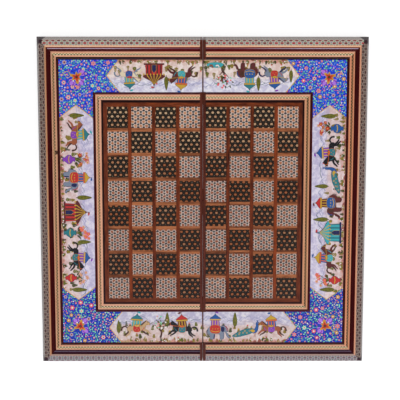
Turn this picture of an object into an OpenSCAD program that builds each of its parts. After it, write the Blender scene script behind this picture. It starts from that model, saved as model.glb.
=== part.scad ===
// A folding marquetry game board, lying open with its chess face up.
// X runs across the fold, Y runs along the fold and Z points up.
// The fold line is at X = 0, the right half has X above 0, and the left half is its mirror image.
// The board stands on its hinge barrels at Z = 0.

/* [Board] */
// Length of each side of the open board
board = 500; // [460:5:560]
// Height of one half from its rim to its highest face
half_height = 35; // [32:0.5:45]
// Upright part of the outer side, above the rim
land = 9; // [6:0.5:12]
// How far the sloped outer side leans in towards the top
taper = 9; // [5:0.5:11]
// Gap left between each half and the fold line
seam_gap = 0.3; // [0.2:0.05:0.6]

/* [Outer frame] */
// Width of the flat mosaic band at the outer edge
band_w = 8; // [6:0.5:10]
// Thickness of the mosaic on the sloped outer side
skin_t = 1.6; // [1.2:0.1:2]
// Width of the pale line inside the mosaic band
pale_line_w = 2.4; // [1.5:0.1:3]
// Width of the hollowed moulding
cove_w = 6.5; // [5:0.1:8]
// Depth of the hollow in that moulding
cove_depth = 1.7; // [1:0.1:2]
// Width of the outer banding
outer_banding_w = 8; // [7:0.1:11]
// Width of the dark bead beside the painted border
outer_bead_w = 2.9; // [1.5:0.1:4]
// Side of the dark post on each outer corner, on the top face
post_w = 5; // [4:0.5:6]

/* [Painted border] */
// Width of the painted border on the side away from the fold
border_w = 50.4; // [44:0.1:54]
// Length of the pointed end of each picture panel
tip_length = 19; // [12:1:24]
// How much the sides of a pointed end swell outwards
tip_swell = 0.03; // [0:0.01:0.1]
// Distance from the point of a side panel to the inner corner of the border
side_tip_setback = 19.4; // [12:0.1:24]
// Distance from the point of an end panel to the inner corner of the border
end_tip_setback = 21.1; // [12:0.1:24]

/* [Playing field] */
// How much further the field and its frame reach along the fold than across it
field_extra = 2.4; // [0:0.1:4]
// Width of the dark red bead inside the painted border
inner_bead_w = 3.5; // [1.5:0.1:4]
// Width of the inner banding
inner_banding_w = 8.8; // [7:0.1:11]
// Width of the dark line inside the inner banding
field_line_w = 3; // [1.5:0.1:4]
// Width of the wood margin round the squares
margin_w = 5.9; // [4:0.1:8]
// Width of the wood fillets between the squares
fillet_w = 5.3; // [4:0.1:7]
// Width of the wood strip beside the fold, on each half
strip_w = 4.35; // [3:0.05:6]
// Width of the bare wood edge beside the fold, along the painted border
edge_w = 1; // [0.8:0.1:1.5]

/* [Levels above the base of the decoration] */
// Mosaic band
band_rise = 4; // [3.5:0.1:4.5]
// Pale line
pale_line_rise = 3.8; // [3:0.1:4]
// Highest edges of the hollowed moulding
cove_rise = 3.5; // [3:0.1:4]
// Outer banding
outer_banding_rise = 3.3; // [2.5:0.1:4]
// Dark bead beside the painted border
outer_bead_rise = 3; // [2.6:0.1:3.5]
// Painted border
border_rise = 2.2; // [1.5:0.1:3]
// Dark red bead
inner_bead_rise = 2.7; // [2.6:0.1:3.5]
// Inner banding
inner_banding_rise = 3; // [2:0.1:3.5]
// Dark line of the field
field_line_rise = 2.2; // [1.5:0.1:3]
// Wood margin and fillets of the field
margin_rise = 2.5; // [2:0.1:3]
// Squares
square_rise = 2.6; // [2:0.1:3]

/* [Tray] */
// Width of the outer rails at the rim
rail_w = 18; // [16:0.5:22]
// Width of the rail beside the fold
fold_rail_w = 12; // [11.5:0.5:16]
// Thickness of the core panel
core_t = 5; // [4:0.5:6]
// Width of the ledge in each rail that holds the core panel
ledge_w = 6; // [4:0.5:7]
// Thickness of the lining that faces the hollow
lining_t = 2; // [1.5:0.1:3]

/* [Inside field] */
// Length of a point
point_length = 188; // [150:1:195]
// Width of a point at its base
point_w = 31; // [20:1:33]
// Depth of the pocket that holds a point
point_pocket = 0.8; // [0.4:0.1:1]
// Thickness of a point
point_t = 1; // [0.9:0.1:1.2]

/* [Hinges] */
// Distance of the outer hinges from the middle one
hinge_spacing = 170; // [120:5:190]
// Length of a hinge
hinge_length = 40; // [30:5:50]
// Radius of the hinge barrel
barrel_r = 1.6; // [1.4:0.1:2]
// Radius of the hinge pin
pin_r = 0.8; // [0.6:0.05:0.9]
// Clearance of the pin in its knuckles
pin_clearance = 0.05; // [0.03:0.01:0.08]
// Width of a hinge leaf from the fold line
leaf_w = 10; // [9:0.5:11]
// Thickness of a hinge leaf
leaf_t = 1.2; // [1:0.1:1.4]
// Number of knuckles on a hinge
knuckles = 5; // [3:2:7]
// Length of a hinge screw
screw_length = 9; // [6:1:12]

/* [Magnets] */
// Radius of a closing magnet
magnet_r = 4; // [3:0.5:5]
// Thickness of a closing magnet
magnet_t = 2.5; // [2:0.5:4]
// Distance of a closing magnet from the middle of the long side
magnet_offset = 150; // [100:5:190]

/* [Hidden] */
$fn = 48;

// Heights
rim_gap = 0.1;
axis_z = barrel_r;
rim_z = axis_z + rim_gap;
top_z = rim_z + half_height;
land_z = rim_z + land;
base_z = top_z - band_rise;
core_z = base_z - core_t;
lining_z = core_z - lining_t;

// Distances from the middle of the board to the inner side of each line round it
half = board / 2;
top_edge = half - taper;
band_in = top_edge - band_w;
pale_line_in = band_in - pale_line_w;
cove_in = pale_line_in - cove_w;
outer_banding_in = cove_in - outer_banding_w;
outer_bead_in = outer_banding_in - outer_bead_w;
border_in = outer_bead_in - border_w;
inner_bead_in = border_in - inner_bead_w;
inner_banding_in = inner_bead_in - inner_banding_w;
field_line_in = inner_banding_in - field_line_w;
field_x = field_line_in - margin_w;
field_y = field_x + field_extra;

// Squares, four across each half and eight along it
columns = 4;
rows = 8;
square_x = (field_x - strip_w - (columns - 1) * fillet_w) / columns;
square_y = (2 * field_y - (rows - 1) * fillet_w) / rows;

// Painted border
end_border_in = border_in + field_extra;
end_border_w = border_w - field_extra;
side_tip = end_border_in - side_tip_setback;
end_tip = border_in - end_tip_setback;
tip_steps = 8;

// Tray
rail_in = half - rail_w;
panel_out = rail_in + ledge_w;

// Points of the inside field, six at each end of each half
points_per_end = 6;
point_pitch = (rail_in - fold_rail_w) / points_per_end;
point_base = rail_in - 2;

// Small fits
joint_line = 0.04;
edge_break = 0.9;
notch_r = barrel_r + 0.4;
knuckle_gap = 0.05;
leaf_gap = 0.1;
screw_r = 1;
screw_head_r = 2.2;
screw_gap = 0.05;
screw_offset = 13;
slot_w = 0.6;
slot_depth = 0.4;
pin_overhang = 0.4;
magnet_gap = 0.05;
past = 1;

// Position of the inner face of the mosaic skin at a height on the slope
function skin_in(z) = half - skin_t - taper * (z - land_z) / (top_z - land_z);

// Position of the outer face of the mosaic skin at a height on the slope
function skin_out(z) = skin_in(z) + skin_t;

// How far the outline of a pointed end lies behind its tip, at t from 0 at the tip to 1 at the side
function tip_back(t) = tip_length * (t - tip_swell * sin(180 * t));

// Outline of a pointed end with its tip at a reach, across a panel of a width from 0
function pointed_end(width, reach) = [
    for (i = [-tip_steps:tip_steps])
        [(1 + i / tip_steps) * width / 2, reach - tip_back(abs(i) / tip_steps)]
];

// Left and right place the parts of one half
module right() children();
module left() mirror([1, 0, 0]) children();

// Both ends of a half
module both_ends() {
    children();
    mirror([0, 1, 0]) children();
}

// The child's section, drawn as distance from the middle and height, runs along the far side
module far_length(line = joint_line, extra = 0) {
    reach = board + extra - line;
    intersection() {
        rotate([90, 0, 0])
            linear_extrude(height = board, center = true)
                children();
        linear_extrude(height = top_z + past)
            polygon([[line - extra, 0], [board, reach], [board, -reach]]);
    }
}

// The same section runs along the back end, from a distance beside the fold to the corner
module back_length(start, line = joint_line, extra = 0) {
    intersection() {
        translate([0, extra, 0])
            rotate([90, 0, 90])
                linear_extrude(height = half)
                    children();
        translate([0, extra + line, 0])
            linear_extrude(height = top_z + past)
                polygon([[start, start], [board, board], [start, board]]);
    }
}

// Three mitred lengths round a half
module round_half(start, line = joint_line, extra = 0) {
    far_length(line, extra) children();
    both_ends() back_length(start, line, extra) children();
}

// Three mitred lengths round the playing field, which reaches further along the fold
module round_field() {
    round_half(strip_w, extra = field_extra) children();
}

// Section of a flat strip that ends at an inner distance
module flat_section(inner, width, rise) {
    translate([inner, base_z]) square([width, rise]);
}

// Section of a strip with a half-round top
module bead_section(inner, width, rise) {
    flat_section(inner, width, rise - width / 2);
    intersection() {
        flat_section(inner, width, rise);
        translate([inner + width / 2, base_z + rise - width / 2]) circle(d = width);
    }
}

// Section of a rail with its ledge for the core panel
module rail_section() {
    polygon([
        [rail_in, rim_z], [half - skin_t, rim_z], [half - skin_t, land_z], [skin_in(base_z), base_z],
        [panel_out, base_z], [panel_out, core_z], [rail_in, core_z]
    ]);
}

// Section of the mosaic skin on the sloped side
module skin_section() {
    polygon([
        [half - skin_t, rim_z], [half, rim_z], [half, land_z],
        [skin_out(top_z - edge_break), top_z - edge_break], [top_edge - edge_break / 2, top_z],
        [top_edge - skin_t, top_z], [half - skin_t, land_z]
    ]);
}

// Section of the flat mosaic band
module band_section() {
    polygon([
        [band_in, base_z], [skin_in(base_z), base_z], [top_edge - skin_t, top_z], [band_in, top_z]
    ]);
}

// Space taken by the corner posts
module corner_columns() {
    side = post_w + taper + past;
    both_ends()
        translate([top_edge - post_w, top_edge - post_w, 0])
            cube([side, side, top_z + past]);
}

// Places on a half for the three hinges
module at_hinges() {
    for (y = [-hinge_spacing, 0, hinge_spacing]) translate([0, y, 0]) children();
}

// Places in a hinge for the two screws of a leaf
module at_screws() {
    for (y = [-screw_offset, screw_offset]) translate([leaf_w * 0.6, y, rim_z]) children();
}

// Round bar along the fold line
module bar(radius, length) {
    translate([0, 0, axis_z])
        rotate([90, 0, 0])
            cylinder(r = radius, h = length, center = true);
}

// Places for the two magnets
module at_magnets() {
    for (y = [-magnet_offset, magnet_offset]) translate([half - rail_w / 2, y, rim_z]) children();
}

// The panel that carries the chess face
module core_panel() {
    color("#a0703c")
        translate([ledge_w, -panel_out, core_z])
            cube([panel_out - ledge_w, 2 * panel_out, core_t]);
}

// The rail beside the fold, cut for the hinges
module fold_rail() {
    color("#5a2a16")
        difference() {
            union() {
                translate([seam_gap, -rail_in, rim_z])
                    cube([fold_rail_w - seam_gap, 2 * rail_in, core_z - rim_z]);
                translate([seam_gap, -panel_out, core_z])
                    cube([ledge_w - seam_gap, 2 * panel_out, core_t]);
            }
            at_hinges() {
                bar(notch_r, hinge_length + 2);
                translate([-past, -hinge_length / 2 - leaf_gap, rim_z - past])
                    cube([leaf_w + leaf_gap + past, hinge_length + 2 * leaf_gap, leaf_t + leaf_gap + past]);
                at_screws() cylinder(r = screw_r + screw_gap, h = screw_length + screw_gap);
            }
        }
}

// The rail on the side away from the fold, bored for the magnets
module far_rail() {
    color("#5a2a16")
        difference() {
            far_length() rail_section();
            at_magnets()
                translate([0, 0, -past])
                    cylinder(r = magnet_r + magnet_gap, h = magnet_t + magnet_gap + past);
        }
}

// The rail at the back end
module back_rail() {
    color("#5a2a16") back_length(seam_gap) rail_section();
}

// The rail at the near end
module near_rail() {
    mirror([0, 1, 0]) back_rail();
}

// Dark wood posts on the outer corners
module corner_posts() {
    color("#3c2228")
        intersection() {
            round_half(strip_w, 0) {
                skin_section();
                band_section();
            }
            corner_columns();
        }
}

// Mosaic on the sloped sides
module side_khatam() {
    color("#8c8078")
        difference() {
            round_half(strip_w) skin_section();
            corner_columns();
        }
}

// Mosaic band on the top of the outer edge
module band_khatam() {
    color("#9a9084")
        difference() {
            round_half(strip_w) band_section();
            corner_columns();
        }
}

// Pale line inside the mosaic band
module pale_line() {
    color("#e1aa82") round_half(strip_w) flat_section(pale_line_in, pale_line_w, pale_line_rise);
}

// Hollowed moulding
module cove() {
    lip = 0.35;
    reach = cove_w / 2 - lip;
    hollow_r = (pow(reach, 2) + pow(cove_depth, 2)) / (2 * cove_depth);
    color("#4b0a10")
        round_half(strip_w)
            difference() {
                flat_section(cove_in, cove_w, cove_rise);
                translate([cove_in + cove_w / 2, base_z + cove_rise - cove_depth + hollow_r])
                    circle(r = hollow_r);
            }
}

// Banding outside the painted border
module outer_banding() {
    color("#dda982")
        round_half(strip_w) flat_section(outer_banding_in, outer_banding_w, outer_banding_rise);
}

// Dark bead between the outer banding and the painted border
module outer_bead() {
    color("#38060c") round_half(strip_w) bead_section(outer_bead_in, outer_bead_w, outer_bead_rise);
}

// Outline of the picture panels of a half, seen from above
module picture_outline() {
    back = [for (p = pointed_end(border_w, side_tip)) [border_in + p[0], p[1]]];
    near = [for (i = [2 * tip_steps:-1:0]) [back[i][0], -back[i][1]]];
    polygon(concat(back, near));
    both_ends()
        polygon(concat(
            [[edge_w, end_border_in]],
            [for (p = pointed_end(end_border_w, end_tip)) [p[1], end_border_in + p[0]]],
            [[edge_w, outer_bead_in]]
        ));
}

// Picture panels with pointed ends
module picture_panels() {
    color("#e8dcd8")
        translate([0, 0, base_z])
            linear_extrude(height = border_rise)
                picture_outline();
}

// Blue corners between the picture panels
module blue_corners() {
    color("#2036d0")
        translate([0, 0, base_z])
            linear_extrude(height = border_rise)
                difference() {
                    translate([edge_w, -outer_bead_in])
                        square([outer_bead_in - edge_w, 2 * outer_bead_in]);
                    translate([0, -end_border_in])
                        square([border_in, 2 * end_border_in]);
                    picture_outline();
                }
}

// Dark red bead inside the painted border
module inner_bead() {
    color("#6a0c10") round_field() bead_section(inner_bead_in, inner_bead_w, inner_bead_rise);
}

// Banding inside the painted border
module inner_banding() {
    color("#dda982")
        round_field() flat_section(inner_banding_in, inner_banding_w, inner_banding_rise);
}

// Dark line round the playing field
module field_line() {
    color("#2a0a0c") round_field() flat_section(field_line_in, field_line_w, field_line_rise);
}

// Wood margin round the squares
module field_margin() {
    color("#74361a") round_field() flat_section(field_x, margin_w, margin_rise);
}

// Wood fillets between the columns of squares
module upright_fillets() {
    color("#8a4424")
        for (column = [1:columns - 1])
            translate([strip_w + column * square_x + (column - 1) * fillet_w, -field_y, base_z])
                cube([fillet_w, 2 * field_y, margin_rise]);
}

// Short wood fillets between the rows of squares
module cross_fillets() {
    color("#b4744e")
        for (column = [0:columns - 1], row = [1:rows - 1])
            translate([
                strip_w + column * (square_x + fillet_w),
                field_y - row * (square_y + fillet_w), base_z
            ])
                cube([square_x, fillet_w, margin_rise]);
}

// Squares whose row and column numbers add up to an even number, or to an odd one with parity 1
module squares(parity) {
    for (column = [0:columns - 1], row = [0:rows - 1])
        if ((column + row) % 2 == parity)
            translate([
                strip_w + column * (square_x + fillet_w),
                field_y - row * (square_y + fillet_w) - square_y, base_z
            ])
                cube([square_x, square_y, square_rise]);
}

// Squares of dark mosaic
module dark_squares(parity) {
    color("#3a2c20") squares(parity);
}

// Squares of light mosaic
module light_squares(parity) {
    color("#d8c8b4") squares(parity);
}

// Wood strips beside the fold, which also cap the ends of the frame
module seam_strips() {
    color("#6a3020") {
        both_ends()
            rotate([90, 0, 90])
                translate([0, 0, seam_gap])
                    linear_extrude(height = strip_w - seam_gap) {
                        skin_section();
                        band_section();
                        translate([outer_bead_in, base_z])
                            square([band_in - outer_bead_in, band_rise]);
                    }
        both_ends()
            translate([seam_gap, end_border_in, base_z])
                cube([edge_w - seam_gap, end_border_w, border_rise]);
        translate([seam_gap, -end_border_in, base_z])
            cube([strip_w - seam_gap, 2 * end_border_in, inner_banding_rise]);
    }
}

// Triangular points whose numbers are even, or odd with parity 1
module points(parity, swell, height) {
    for (i = [0:points_per_end - 1], end = [0, 1])
        if ((i + end) % 2 == parity)
            mirror([0, end, 0])
                translate([fold_rail_w + (i + 0.5) * point_pitch, point_base, lining_z + point_pocket - height])
                    linear_extrude(height = height)
                        polygon([
                            [-point_w / 2 - swell, swell], [point_w / 2 + swell, swell],
                            [0, -point_length - swell]
                        ]);
}

// Lining inside the tray, with a pocket for each point
module lining() {
    color("#7a3c1e")
        difference() {
            translate([fold_rail_w, -rail_in, lining_z])
                cube([rail_in - fold_rail_w, 2 * rail_in, lining_t]);
            points(0, 0, point_pocket + past);
            points(1, 0, point_pocket + past);
        }
}

// Dark points of the inside field
module dark_points() {
    color("#3a2018") points(0, 0, point_t);
}

// Light points of the inside field
module light_points() {
    color("#d8b080") points(1, 0, point_t);
}

// One hinge leaf with its own knuckles, numbered from 0 at the near end
module hinge_leaf(parity) {
    step = hinge_length / knuckles;
    difference() {
        union() {
            translate([0, -hinge_length / 2, rim_z]) cube([leaf_w, hinge_length, leaf_t]);
            bar(barrel_r, hinge_length);
        }
        for (i = [0:knuckles - 1])
            if (i % 2 != parity)
                translate([0, (i + 0.5) * step - hinge_length / 2, 0])
                    bar(notch_r, step + 2 * knuckle_gap);
        bar(pin_r + pin_clearance, hinge_length + 2);
        at_screws() {
            translate([0, 0, -past]) cylinder(r = screw_r + screw_gap, h = leaf_t + 2 * past);
            cylinder(r1 = screw_head_r + screw_gap, r2 = screw_r + screw_gap, h = leaf_t);
        }
    }
}

// Brass leaves of the three hinges on a half
module hinge_leaves(parity) {
    color("#c8a050") at_hinges() hinge_leaf(parity);
}

// Brass screws of the hinge leaves on a half
module hinge_screws() {
    color("#b89048")
        at_hinges()
            at_screws()
                difference() {
                    union() {
                        cylinder(r1 = screw_head_r, r2 = screw_r, h = leaf_t);
                        cylinder(r = screw_r, h = screw_length);
                    }
                    translate([-screw_head_r, -slot_w / 2, -past])
                        cube([2 * screw_head_r, slot_w, slot_depth + past]);
                }
}

// Pins of the three hinges
module hinge_pins() {
    color("#b0a080") at_hinges() bar(pin_r, hinge_length + 2 * pin_overhang);
}

// Closing magnets let into the rim
module magnets() {
    color("#c0c0c4") at_magnets() cylinder(r = magnet_r, h = magnet_t);
}

left() core_panel();  // left_core_panel
left() fold_rail();  // left_fold_rail
left() far_rail();  // left_far_rail
left() near_rail();  // left_near_rail
left() back_rail();  // left_back_rail
left() corner_posts();  // left_corner_posts
left() side_khatam();  // left_side_khatam
left() band_khatam();  // left_band_khatam
left() pale_line();  // left_pale_line
left() cove();  // left_cove
left() outer_banding();  // left_outer_banding
left() outer_bead();  // left_outer_bead
left() picture_panels();  // left_picture_panels
left() blue_corners();  // left_blue_corners
left() inner_bead();  // left_inner_bead
left() inner_banding();  // left_inner_banding
left() field_line();  // left_field_line
left() field_margin();  // left_field_margin
left() upright_fillets();  // left_upright_fillets
left() cross_fillets();  // left_cross_fillets
left() dark_squares(1);  // left_dark_squares
left() light_squares(0);  // left_light_squares
left() seam_strips();  // left_seam_strips
left() lining();  // left_lining
left() dark_points();  // left_dark_points
left() light_points();  // left_light_points
left() hinge_leaves(0);  // left_hinge_leaves
left() hinge_screws();  // left_hinge_screws
left() magnets();  // left_magnets
right() core_panel();  // right_core_panel
right() fold_rail();  // right_fold_rail
right() far_rail();  // right_far_rail
right() near_rail();  // right_near_rail
right() back_rail();  // right_back_rail
right() corner_posts();  // right_corner_posts
right() side_khatam();  // right_side_khatam
right() band_khatam();  // right_band_khatam
right() pale_line();  // right_pale_line
right() cove();  // right_cove
right() outer_banding();  // right_outer_banding
right() outer_bead();  // right_outer_bead
right() picture_panels();  // right_picture_panels
right() blue_corners();  // right_blue_corners
right() inner_bead();  // right_inner_bead
right() inner_banding();  // right_inner_banding
right() field_line();  // right_field_line
right() field_margin();  // right_field_margin
right() upright_fillets();  // right_upright_fillets
right() cross_fillets();  // right_cross_fillets
right() dark_squares(0);  // right_dark_squares
right() light_squares(1);  // right_light_squares
right() seam_strips();  // right_seam_strips
right() lining();  // right_lining
right() dark_points();  // right_dark_points
right() light_points();  // right_light_points
right() hinge_leaves(1);  // right_hinge_leaves
right() hinge_screws();  // right_hinge_screws
right() magnets();  // right_magnets
hinge_pins();
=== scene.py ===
"""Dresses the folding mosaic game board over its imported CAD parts.

The CAD nodes keep their shapes and get the woods, mosaics, bandings, lacquers and metals of the board. The
painted border gets thin raised shapes of paint, which ride on the half that carries them.
"""

import logging
import math
import random
from collections.abc import Callable, Iterable, Sequence
from dataclasses import dataclass
from enum import Enum

import bmesh
import bpy
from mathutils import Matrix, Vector


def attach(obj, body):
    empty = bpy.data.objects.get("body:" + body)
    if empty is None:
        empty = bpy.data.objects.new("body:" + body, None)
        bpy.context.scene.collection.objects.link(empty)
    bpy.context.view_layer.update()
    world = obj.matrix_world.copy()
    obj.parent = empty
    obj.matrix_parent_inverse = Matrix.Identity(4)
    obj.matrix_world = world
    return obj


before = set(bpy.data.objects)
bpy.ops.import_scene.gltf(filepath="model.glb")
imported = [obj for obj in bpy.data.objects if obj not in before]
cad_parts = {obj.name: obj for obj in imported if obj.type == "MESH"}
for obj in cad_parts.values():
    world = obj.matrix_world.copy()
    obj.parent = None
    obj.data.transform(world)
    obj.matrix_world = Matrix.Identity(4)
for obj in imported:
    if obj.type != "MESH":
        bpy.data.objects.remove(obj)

LOG = logging.getLogger("game_board")

MM = 0.001
HALF_ROOT = math.sqrt(3) / 2

Colour = tuple[float, float, float, float]
Tint = tuple[float, float, float]
Point = tuple[float, float]
Outline = list[Point]
Shape = tuple[Outline, Colour]


def shade(red: float, green: float, blue: float) -> Colour:
    """Turns a colour as a screen shows it, in parts from 0 to 255, into the linear colour of a shader."""
    parts = [value / 255 for value in (red, green, blue)]
    linear = [p / 12.92 if p <= 0.04045 else ((p + 0.055) / 1.055) ** 2.4 for p in parts]
    return (linear[0], linear[1], linear[2], 1.0)


@dataclass(frozen=True)
class BoardPlan:
    """Distances of the board in millimetres, the same as in the part's source."""

    strip: float = 4.35
    fillet: float = 5.3
    square_x: float = 30.3375
    square_y: float = 31.3625
    field_y: float = 144.0
    field_extra: float = 2.4
    border_in: float = 162.8
    border_end_in: float = 165.2
    border_out: float = 213.2
    paint_out: float = 212.4
    border_edge: float = 1.0
    border_top: float = 34.9
    side_tip: float = 145.8
    end_tip: float = 141.7
    tip_length: float = 19.0
    tip_swell: float = 0.03
    band_in: float = 233.0
    top_z: float = 36.7


PLAN = BoardPlan()
RIM = shade(44, 8, 10)


def add_object(name: str, data: bpy.types.ID) -> bpy.types.Object:
    """Adds an object to the scene."""
    made = bpy.data.objects.new(name, data)
    bpy.context.scene.collection.objects.link(made)
    return made


# Shader tools


def math_step(operation: str, swapped: bool = False) -> Callable[["Signal", object], "Signal"]:
    """Returns a method that joins a signal and another value by a Math node."""

    def step(self: "Signal", other: object) -> "Signal":
        return self.graph.math(operation, *((other, self) if swapped else (self, other)))

    return step


class Signal:
    """A value in a node tree. Its sums and comparisons with other values are Math nodes."""

    __add__ = math_step("ADD")
    __sub__ = math_step("SUBTRACT")
    __rsub__ = math_step("SUBTRACT", swapped=True)
    __mul__ = math_step("MULTIPLY")
    __truediv__ = math_step("DIVIDE")
    __gt__ = math_step("GREATER_THAN")
    __lt__ = math_step("LESS_THAN")

    def __init__(self, graph: "Graph", socket: bpy.types.NodeSocket) -> None:
        """Keeps the socket and its graph."""
        self.graph = graph
        self.socket = socket

    def __neg__(self) -> "Signal":
        """Turns the sign."""
        return self * -1.0

    def __abs__(self) -> "Signal":
        """Drops the sign."""
        return self.do("ABSOLUTE")

    def do(self, operation: str, *values: object) -> "Signal":
        """Adds another kind of Math node on the signal and the values."""
        return self.graph.math(operation, self, *values)

    def clamped(self) -> "Signal":
        """Keeps the result of the last Math node between 0 and 1."""
        self.socket.node.use_clamp = True
        return self

    def mask(self, low: float, high: float) -> "Signal":
        """Rises from 0 at low to 1 at high, or falls where low is the larger one."""
        return self.graph.add("MapRange", {"Value": self, "From Min": low, "From Max": high}, clamp=True)["Result"]


class Outputs:
    """The outputs of a node as signals, by name or number."""

    def __init__(self, graph: "Graph", sockets: bpy.types.NodeOutputs) -> None:
        """Keeps the sockets and their graph."""
        self.graph = graph
        self.sockets = sockets

    def __getitem__(self, key: str | int) -> Signal:
        """Returns one output."""
        return Signal(self.graph, self.sockets[key])


class Graph:
    """Adds nodes to one node tree and links them."""

    def __init__(self, tree: bpy.types.NodeTree) -> None:
        """Keeps the node tree."""
        self.tree = tree

    def feed(self, socket: bpy.types.NodeSocket, value: object) -> None:
        """Links a socket to a signal, or sets it where the value is plain."""
        if isinstance(value, Signal):
            self.tree.links.new(value.socket, socket)
        else:
            socket.default_value = value

    def add(self, kind: str, feeds: dict | None = None, **settings: object) -> Outputs:
        """Adds a shader node.

        Args:
            kind: The node's type without its ShaderNode prefix.
            feeds: Signals or plain values by input name or number.
            **settings: Properties of the node.

        Returns:
            The node's outputs.
        """
        node = self.tree.nodes.new("ShaderNode" + kind)
        for name, value in settings.items():
            setattr(node, name, value)
        for key, value in (feeds or {}).items():
            self.feed(node.inputs[key], value)
        return Outputs(self, node.outputs)

    def math(self, operation: str, *values: object) -> Signal:
        """Adds a Math node on the values."""
        return self.add("Math", dict(enumerate(values)), operation=operation)[0]

    def chain(self, operation: str, *values: Signal) -> Signal:
        """Joins several signals by one operation, two at a time."""
        result = values[0]
        for value in values[1:]:
            result = result.do(operation, value)
        return result

    def blend(self, factor: object, under: object, over: object, way: str = "MIX") -> Signal:
        """Mixes two colours."""
        return self.add("Mix", {0: factor, 6: under, 7: over}, data_type="RGBA", blend_type=way)[2]

    def between(self, factor: object, first: object, second: object) -> Signal:
        """Mixes two numbers."""
        return self.add("Mix", {0: factor, 2: first, 3: second}, data_type="FLOAT")[0]

    def split(self, vector: Signal) -> tuple[Signal, Signal, Signal]:
        """Returns the three parts of a vector."""
        parts = self.add("SeparateXYZ", {0: vector})
        return parts[0], parts[1], parts[2]

    def join(self, x: object, y: object, z: object = 0.0) -> Signal:
        """Returns a vector of three parts."""
        return self.add("CombineXYZ", {0: x, 1: y, 2: z})[0]

    def noise(self, vector: Signal, scale: float, detail: float = 3.0, roughness: float = 0.55) -> Signal:
        """Returns a noise value over the vector."""
        feeds = {"Vector": vector, "Scale": scale, "Detail": detail, "Roughness": roughness}
        return self.add("TexNoise", feeds)["Fac"]

    def chance(self, vector: Signal) -> Outputs:
        """Returns a random value and colour for each value of the vector."""
        return self.add("TexWhiteNoise", {"Vector": vector}, noise_dimensions="3D")

    def use(self, tree: bpy.types.NodeTree, **feeds: object) -> Outputs:
        """Places a node group.

        Args:
            tree: The group's node tree.
            **feeds: Signals or plain values by input name, with underscores for spaces.

        Returns:
            The outputs of the placed group.
        """
        named = {name.replace("_", " "): value for name, value in feeds.items()}
        return self.add("Group", named, node_tree=tree)


VECTORS = {"Place": "Vector", "Shift": "Color"}
BACK, NEAR, SIDES_FROM = 1.0, -1.0, 1.5
Wiring = Callable[[Graph, Outputs], dict[str, Signal]]


def shared_group(name: str, inputs: Sequence[str], wire: Wiring) -> bpy.types.NodeTree:
    """Makes a shader node group once and returns it from then on.

    Args:
        name: The group's name.
        inputs: Names of its inputs.
        wire: Wires the group and returns the signal for each output.

    Returns:
        The group's node tree.
    """
    tree = bpy.data.node_groups.get(name)
    if tree:
        return tree
    tree = bpy.data.node_groups.new(name, "ShaderNodeTree")

    def socket(label: str, way: str) -> None:
        kind = "NodeSocket" + VECTORS.get(label, "Float")
        tree.interface.new_socket(label, in_out=way, socket_type=kind)

    for label in inputs:
        socket(label, "INPUT")
    graph = Graph(tree)
    results = wire(graph, Outputs(graph, tree.nodes.new("NodeGroupInput").outputs))
    for label in results:
        socket(label, "OUTPUT")
    leave = tree.nodes.new("NodeGroupOutput")
    for label, result in results.items():
        graph.feed(leave.inputs[label], result)
    return tree


def board_lines() -> bpy.types.NodeTree:
    """Group that follows the mitred lengths of the frame: how far out a point is, and how far along its length.

    Length is BACK on the back one, NEAR on the near one, 2 on the right one and -2 on the left one.
    """

    def wire(graph: Graph, given: Outputs) -> dict[str, Signal]:
        x, y, _ = graph.split(given["Place"])
        reach_x, reach_y = abs(x), abs(y) - given["Extra"]
        far = reach_x > reach_y
        return {
            "Across": reach_x.do("MAXIMUM", reach_y),
            "Along": graph.between(far, x, y),
            "Length": graph.between(far, y.do("SIGN"), x.do("SIGN") * 2.0),
        }

    return shared_group("Board Lines", ("Place", "Extra"), wire)


def on_length(lines: Outputs, number: float) -> Signal:
    """Whether a point lies on the length of the frame with that number."""
    return lines["Length"].do("COMPARE", number, 0.1)


def star_lattice() -> bpy.types.NodeTree:
    """Group that lays six-pointed stars in a lattice and measures how far a point is from the parts of its star."""

    def wire(graph: Graph, given: Outputs) -> dict[str, Signal]:
        u, v = given["U"] / given["Pitch U"], given["V"] / given["Pitch V"] * HALF_ROOT
        (au, av), (bu, bv) = (
            ((u + shift_u).do("WRAP", 0.5, -0.5), (v + shift_v).do("WRAP", HALF_ROOT, -HALF_ROOT))
            for shift_u, shift_v in ((0.0, 0.0), (0.5, HALF_ROOT))
        )
        pick = bu * bu + bv * bv < au * au + av * av
        pu, pv = graph.between(pick, au, bu), graph.between(pick, av, bv)
        lean_u, lean_v, lift_u, lift_v = pu * -0.5, pv * HALF_ROOT, pu * HALF_ROOT, pv * -0.5
        sides = (pu, lean_u + lean_v, lean_u - lean_v)
        points = (pv, lift_v - lift_u, lift_v + lift_u)
        most, least = graph.chain("MAXIMUM", *sides), -graph.chain("MINIMUM", *sides)
        cell = graph.join(u - pu, v - pv, given["Seed"])
        snapped = graph.add("VectorMath", {0: cell, 1: (0.25, 0.25, 1.0)}, operation="SNAP")[0]
        return {
            "Star": most.do("MINIMUM", least),
            "Cell": most.do("MAXIMUM", least),
            "Upper": graph.chain("MAXIMUM", *points),
            "Lower": -graph.chain("MINIMUM", *points),
            "Chance": graph.chance(snapped)["Value"],
        }

    return shared_group("Star Lattice", ("U", "V", "Pitch U", "Pitch V", "Seed"), wire)


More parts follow.
